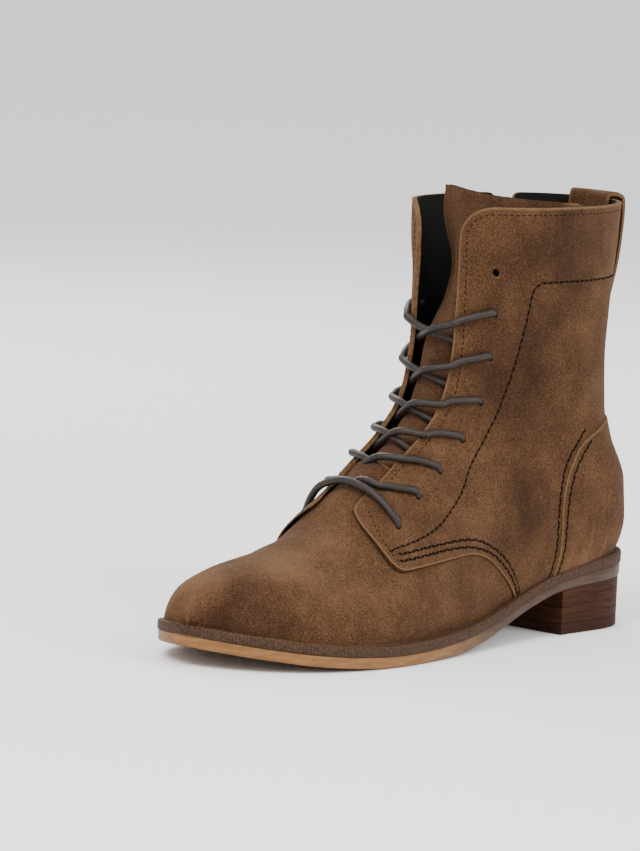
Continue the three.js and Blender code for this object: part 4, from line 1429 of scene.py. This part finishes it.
for name, side in SIDES.items():
    corner = collar_corner(side, EDGE_ROW)
    facing_rows = np.linspace(corner[0, 0], 6.3, 120)
    facing = np.vstack([corner[:0:-1], throat_edge(side, facing_rows, EDGE_ROW)])
    low_corner = spots(side, smooth_path([(-143, 62), (-146.5, 53), (-147, 46), (-145.5, 42)], 1.5))
    collar_rows = collar(corner[-1, 1], side * 0.25, 80, EDGE_ROW)
    lining = np.vstack([collar_corner(side, LINING_ROW)[:0:-1], throat_edge(side, facing_rows, LINING_ROW)])
    stitches(
        f"eyestay_stitches_{name}", [on_row(side, "eyestay"), on_row(side, "high")], **STITCHES["eyestay"]
    )
    stitches(
        f"edge_stitches_{name}",
        [on_skin(facing, quarter_top), on_skin(collar_rows, PANEL_STEP), on_skin(low_corner, quarter_top)],
        **STITCHES["edge"],
    )
    stitches(
        f"lining_stitches_{name}", [on_skin(lining[lining[:, 0] > 6.8], -WALL - 0.15)], **STITCHES["lining"]
    )
    stitches(
        f"quarter_seam_stitches_{name}", [on_row(side, "low seam"), on_row(side, "high seam")],
        **STITCHES["seam"],
    )
    stitches(
        f"counter_seam_stitches_{name}",
        [on_row(side, "counter front"), on_row(side, "counter rear", counter_top)], **STITCHES["seam"],
    )

welt_lines = []
for side in (OUTER, INNER):
    line = sole_side(side, 0.75, 240)
    points = np.column_stack([line, sole_top(line[:, 1]) + 0.02])
    welt_lines.append((points, np.tile([0, 0, 1.0], (len(points), 1))))
stitches("welt_stitches", welt_lines, **STITCHES["welt"])
# Zip
ZIP_REACH = BOOT_HEIGHT - ZIP_END_HEIGHT
TAPE_STEPS = 8
COIL_FOOT, COIL_OUT = 5, -0.6
COIL_HALF = (1.45, 0.42, 0.75)  # half a coil turn: across the zip, along it and outwards
COIL_ASIDE, COIL_STAGGER = 1.25, 0.25


def zip_rows(across, start, end, step=1.0):
    along_zip = np.arange(start, end, step)
    return spots(INNER, zip_places(along_zip, np.full(len(along_zip), across)))


def zip_tape():
    lanes = [zip_rows(ZIP_TAPE * (k / TAPE_STEPS - 0.5), -0.5, ZIP_REACH, 2.0) for k in range(TAPE_STEPS + 1)]
    n = min(len(lane) for lane in lanes)
    grid = np.stack([lane[:n] for lane in lanes])

    def place(s, t):
        outside, share = folded(t)
        u, angle = grid[step_of(share, TAPE_STEPS + 1), step_of(s, n)].T
        return skin(u, angle, -WALL - GAP - np.where(outside, 0, ZIP_TAPE_THICKNESS), worn=False)

    folded_piece("zip_tape", n - 1, 2 * TAPE_STEPS, place, zip_cloth)


def zip_chain():
    """The coil's turns, as a bead on either side of the chain's middle"""
    bm = bmesh.new()
    middle, out = on_skin(zip_rows(0, COIL_FOOT, ZIP_REACH - SLIDER_LENGTH - 5), COIL_OUT)
    for k, (p, n) in enumerate(zip(middle, out)):
        run = unit(middle[min(k + 1, len(middle) - 1)] - middle[max(k - 1, 0)])
        across = unit(np.cross(n, run))
        for half in (1, -1):
            centre = p + across * half * COIL_ASIDE + run * half * COIL_STAGGER
            bead(bm, centre, *(axis * size for axis, size in zip((across, run, n), COIL_HALF)))
    bmesh.ops.recalc_face_normals(bm, faces=bm.faces)
    finished("zip_chain", bm, zip_coil, replaces=["zip_chain"])


zip_tape()
zip_chain()


def slider_axes():
    """Axes at the slider: across the zip, up along it and out of the boot"""
    height = BOOT_HEIGHT - SLIDER_LENGTH / 2 - SLIDER_DROP
    y = ZIP_FOOT[0] + ZIP_RUN[0] / ZIP_RUN[1] * (height - ZIP_END_HEIGHT)
    u, angle = (each.ravel() for each in np.meshgrid(
        np.arange(LAST_ROW / 2, LAST_ROW, 0.05), np.arange(-0.75 * np.pi, -0.2 * np.pi, 0.02), indexing="ij"
    ))
    places = last_point(u, angle)
    near = np.argmin(np.hypot(places[:, 1] - y, places[:, 2] - height))
    out = unit(normal_at(u[near:near + 1], angle[near:near + 1])[0] * [1, 1, 0])
    up = np.array([0, *ZIP_RUN])
    up = unit(up - out * (up @ out))
    across = unit(np.cross(up, out))
    rows = np.column_stack([across, up, out, places[near]])
    return Matrix([*rows.tolist(), [0, 0, 0, 1]])


# The slider's own sizes, in its axes. The pull hangs on a pin between two lugs.
INTO_BOOT = Matrix.Scale(MM, 4) @ slider_axes()
SLIDER_FLOOR, SLIDER_FACE = -WALL + GAP, PANEL_STEP + GAP
LUG_THICKNESS = 1.1
LUG_SPREAD = PULL_WIDTH / 2 - LUG_THICKNESS + GAP
BARREL_RADIUS = 2 * PIN_RADIUS + GAP
BARREL_LENGTH = 2 * LUG_SPREAD + LUG_THICKNESS - 2 * GAP
PIN_UP = SLIDER_LENGTH / 2 - BARREL_RADIUS - PIN_RADIUS / 2
PIN_OUT = SLIDER_FACE + BARREL_RADIUS + GAP
LUG_HEIGHT = PIN_OUT + 2 * PIN_RADIUS - SLIDER_FACE + GAP
PULL_NECK = 2
BLADE = PULL_LENGTH - BARREL_RADIUS - PULL_NECK
BLADE_TOP = PIN_UP - BARREL_RADIUS - PULL_NECK
RAIL = 1.1  # width of the pull's raised edges
PLATE = (0.62, 0.8)  # the plain plate between them: share of the blade's length, and of its thickness
PULL_EDGE = 0.3
ROUND_STEPS = 28


def rounded_block(bm, size, middle, radius):
    """A block with round edges"""
    made = bmesh.ops.create_cube(bm, size=1)["verts"]
    bmesh.ops.transform(bm, matrix=Matrix.Diagonal((*size, 1)), verts=made)
    edges = list({e for v in made for e in v.link_edges})
    faces = bmesh.ops.bevel(
        bm, geom=edges, offset=radius, segments=3, affect="EDGES", profile=0.5, material=-1,
        clamp_overlap=True,
    )["faces"]
    block = list({v for f in faces for v in f.verts})
    bmesh.ops.transform(bm, matrix=INTO_BOOT @ Matrix.Translation(middle), verts=block)


def pin(bm, length):
    made = bmesh.ops.create_cone(
        bm, cap_ends=True, segments=ROUND_STEPS, radius1=PIN_RADIUS, radius2=PIN_RADIUS, depth=length
    )["verts"]
    lie = Matrix.Translation((0, PIN_UP, PIN_OUT)) @ Matrix.Rotation(math.pi / 2, 4, "Y")
    bmesh.ops.transform(bm, matrix=INTO_BOOT @ lie, verts=made)


def barrel(bm, inner, outer, length):
    """The hollow round end of the pull, on the pin"""
    blocks = set(bm.verts)
    corners = [(-length / 2, inner), (length / 2, inner), (length / 2, outer), (-length / 2, outer)]
    ring = [bm.verts.new((x, r, 0)) for x, r in corners]
    edges = [bm.edges.new((ring[k], ring[(k + 1) % 4])) for k in range(4)]
    bmesh.ops.spin(
        bm, geom=ring + edges, axis=(1, 0, 0), cent=(0, 0, 0), dvec=(0, 0, 0), angle=2 * math.pi,
        steps=ROUND_STEPS, use_merge=True, use_duplicate=False,
    )
    turned = [v for v in bm.verts if v not in blocks]
    bmesh.ops.transform(bm, matrix=INTO_BOOT @ Matrix.Translation((0, PIN_UP, PIN_OUT)), verts=turned)


def zip_slider():
    bm = bmesh.new()
    body = (SLIDER_WIDTH, SLIDER_LENGTH, SLIDER_FACE - SLIDER_FLOOR)
    rounded_block(bm, body, (0, 0, (SLIDER_FACE + SLIDER_FLOOR) / 2), 0.7)
    for side in (1, -1):
        rounded_block(
            bm, (LUG_THICKNESS, 2 * (BARREL_RADIUS - GAP), LUG_HEIGHT),
            (side * (LUG_SPREAD + LUG_THICKNESS), PIN_UP, SLIDER_FACE - GAP + LUG_HEIGHT / 2), 0.45,
        )
    pin(bm, 2 * LUG_SPREAD + 2 * LUG_THICKNESS)
    finished("zip_slider", bm, zip_metal, replaces=["zip_slider"], shade=False)


def zip_pull_tab():
    bm = bmesh.new()
    plate, thin = PLATE
    neck = PULL_NECK + BARREL_RADIUS
    # Rows of width, length, thickness, place across the zip and place up it
    blocks = [
        (RAIL, BLADE, 1, (PULL_WIDTH - RAIL) / 2, BLADE_TOP - BLADE / 2),
        (RAIL, BLADE, 1, (RAIL - PULL_WIDTH) / 2, BLADE_TOP - BLADE / 2),
        (PULL_WIDTH, plate * BLADE, thin, 0, BLADE_TOP - (1 - plate / 2) * BLADE),
        (PULL_WIDTH, RAIL, 1, 0, BLADE_TOP - RAIL / 2),
        (BARREL_LENGTH, neck, 1, 0, PIN_UP - BARREL_RADIUS - PULL_NECK / 2),
    ]
    for width, length, thickness, across, up in blocks:
        rounded_block(bm, (width, length, thickness * PULL_THICKNESS), (across, up, PIN_OUT), PULL_EDGE)
    barrel(bm, PIN_RADIUS + GAP, BARREL_RADIUS, BARREL_LENGTH)
    bmesh.ops.recalc_face_normals(bm, faces=bm.faces)
    finished(
        "zip_pull_tab", bm, zip_metal, body="zip_pull", replaces=["zip_pull_tab"],
        shade=False,
    )


zip_slider()
zip_pull_tab()

# Stitches beside the zip and on the loop
ZIP_ROW = ZIP_SLOT / 2 + 2.2
zip_lines = [zip_rows(across, -1, ZIP_REACH - 1, 1.5) for across in (-ZIP_ROW, ZIP_ROW)]
zip_lines.append(spots(INNER, zip_places(np.full(9, -1), np.linspace(-ZIP_ROW, ZIP_ROW, 9))))
stitches("zip_stitches", [on_skin(line, quarter_top) for line in zip_lines], **STITCHES["zip"])
loop_lines = []
heights = np.linspace(0.64, 0.97, 60)
rows = row_at_height(np.zeros(60), heights * BOOT_HEIGHT)
stand = PANEL_STEP + GAP + LOOP_THICKNESS + LOOP_STAND_OFF * np.interp(heights, *zip(*LOOP_BACK))
for across in (-1, 1):
    angle = back_width(rows, across * (LOOP_WIDTH / 2 - LOOP_ROW))
    normal = normal_at(rows, angle)
    loop_lines.append((last_point(rows, angle) + normal * stand[:, None], normal))
stitches("loop_stitches", loop_lines, **STITCHES["loop"])

# Light, floor and camera
TARGET = Vector((-0.0326, -0.1273, 0.0939))
AZIMUTH, ELEVATION, ROLL = math.radians(43.753), math.radians(6.967), math.radians(2.533)
DISTANCE = 2.499
FOCAL_PIXELS, LONG_SIDE, SENSOR = 5621, 851, 36.0
back = Vector((
    math.sin(AZIMUTH) * math.cos(ELEVATION), -math.cos(AZIMUTH) * math.cos(ELEVATION), math.sin(ELEVATION),
))
camera = bpy.data.objects.new("camera", bpy.data.cameras.new("camera"))
bpy.context.scene.collection.objects.link(camera)
camera.rotation_mode = "QUATERNION"
camera.location = TARGET + back * DISTANCE
camera.rotation_quaternion = (-back).to_track_quat("-Z", "Y") @ Matrix.Rotation(ROLL, 4, "Z").to_quaternion()
camera.data.sensor_width = SENSOR
camera.data.lens = FOCAL_PIXELS * SENSOR / LONG_SIDE
camera.data.clip_start, camera.data.clip_end = 0.05, 50
bpy.context.scene.camera = camera


LAMP_TARGET = Vector((0, -0.1, 0.08))
# Place, size in metres and power
LAMPS = {
    "key": ((0.3, -1.3, 1.5), 1.0, 34),
    "fill": ((1.6, 0.2, 0.9), 1.2, 22),
    "rim": ((-1.2, 0.6, 1.0), 0.8, 12),
}
for name, (place, size, power) in LAMPS.items():
    light = bpy.data.lights.new(name, "AREA")
    light.shape, light.size, light.energy = "DISK", size, power
    holder = bpy.data.objects.new(name, light)
    bpy.context.scene.collection.objects.link(holder)
    holder.location = place
    holder.rotation_mode = "QUATERNION"
    holder.rotation_quaternion = (LAMP_TARGET - Vector(place)).to_track_quat("-Z", "Y")

PAPER = 0.9
SKY = 1.3
bm = bmesh.new()
bmesh.ops.create_grid(bm, x_segments=2, y_segments=2, size=6)
mesh = bpy.data.meshes.new("floor")
bm.to_mesh(mesh)
bm.free()
floor = bpy.data.objects.new("floor", mesh)
bpy.context.scene.collection.objects.link(floor)
floor.location = (0, 0, -0.0002)
mesh.materials.append(Finish("paper").surface((PAPER, PAPER, PAPER, 1), 0.9))

world = bpy.data.worlds.new("studio")
bpy.context.scene.world = world
world.use_nodes = True
sky = world.node_tree.nodes["Background"].inputs
sky["Color"].default_value = (1, 1, 1, 1)
sky["Strength"].default_value = SKY
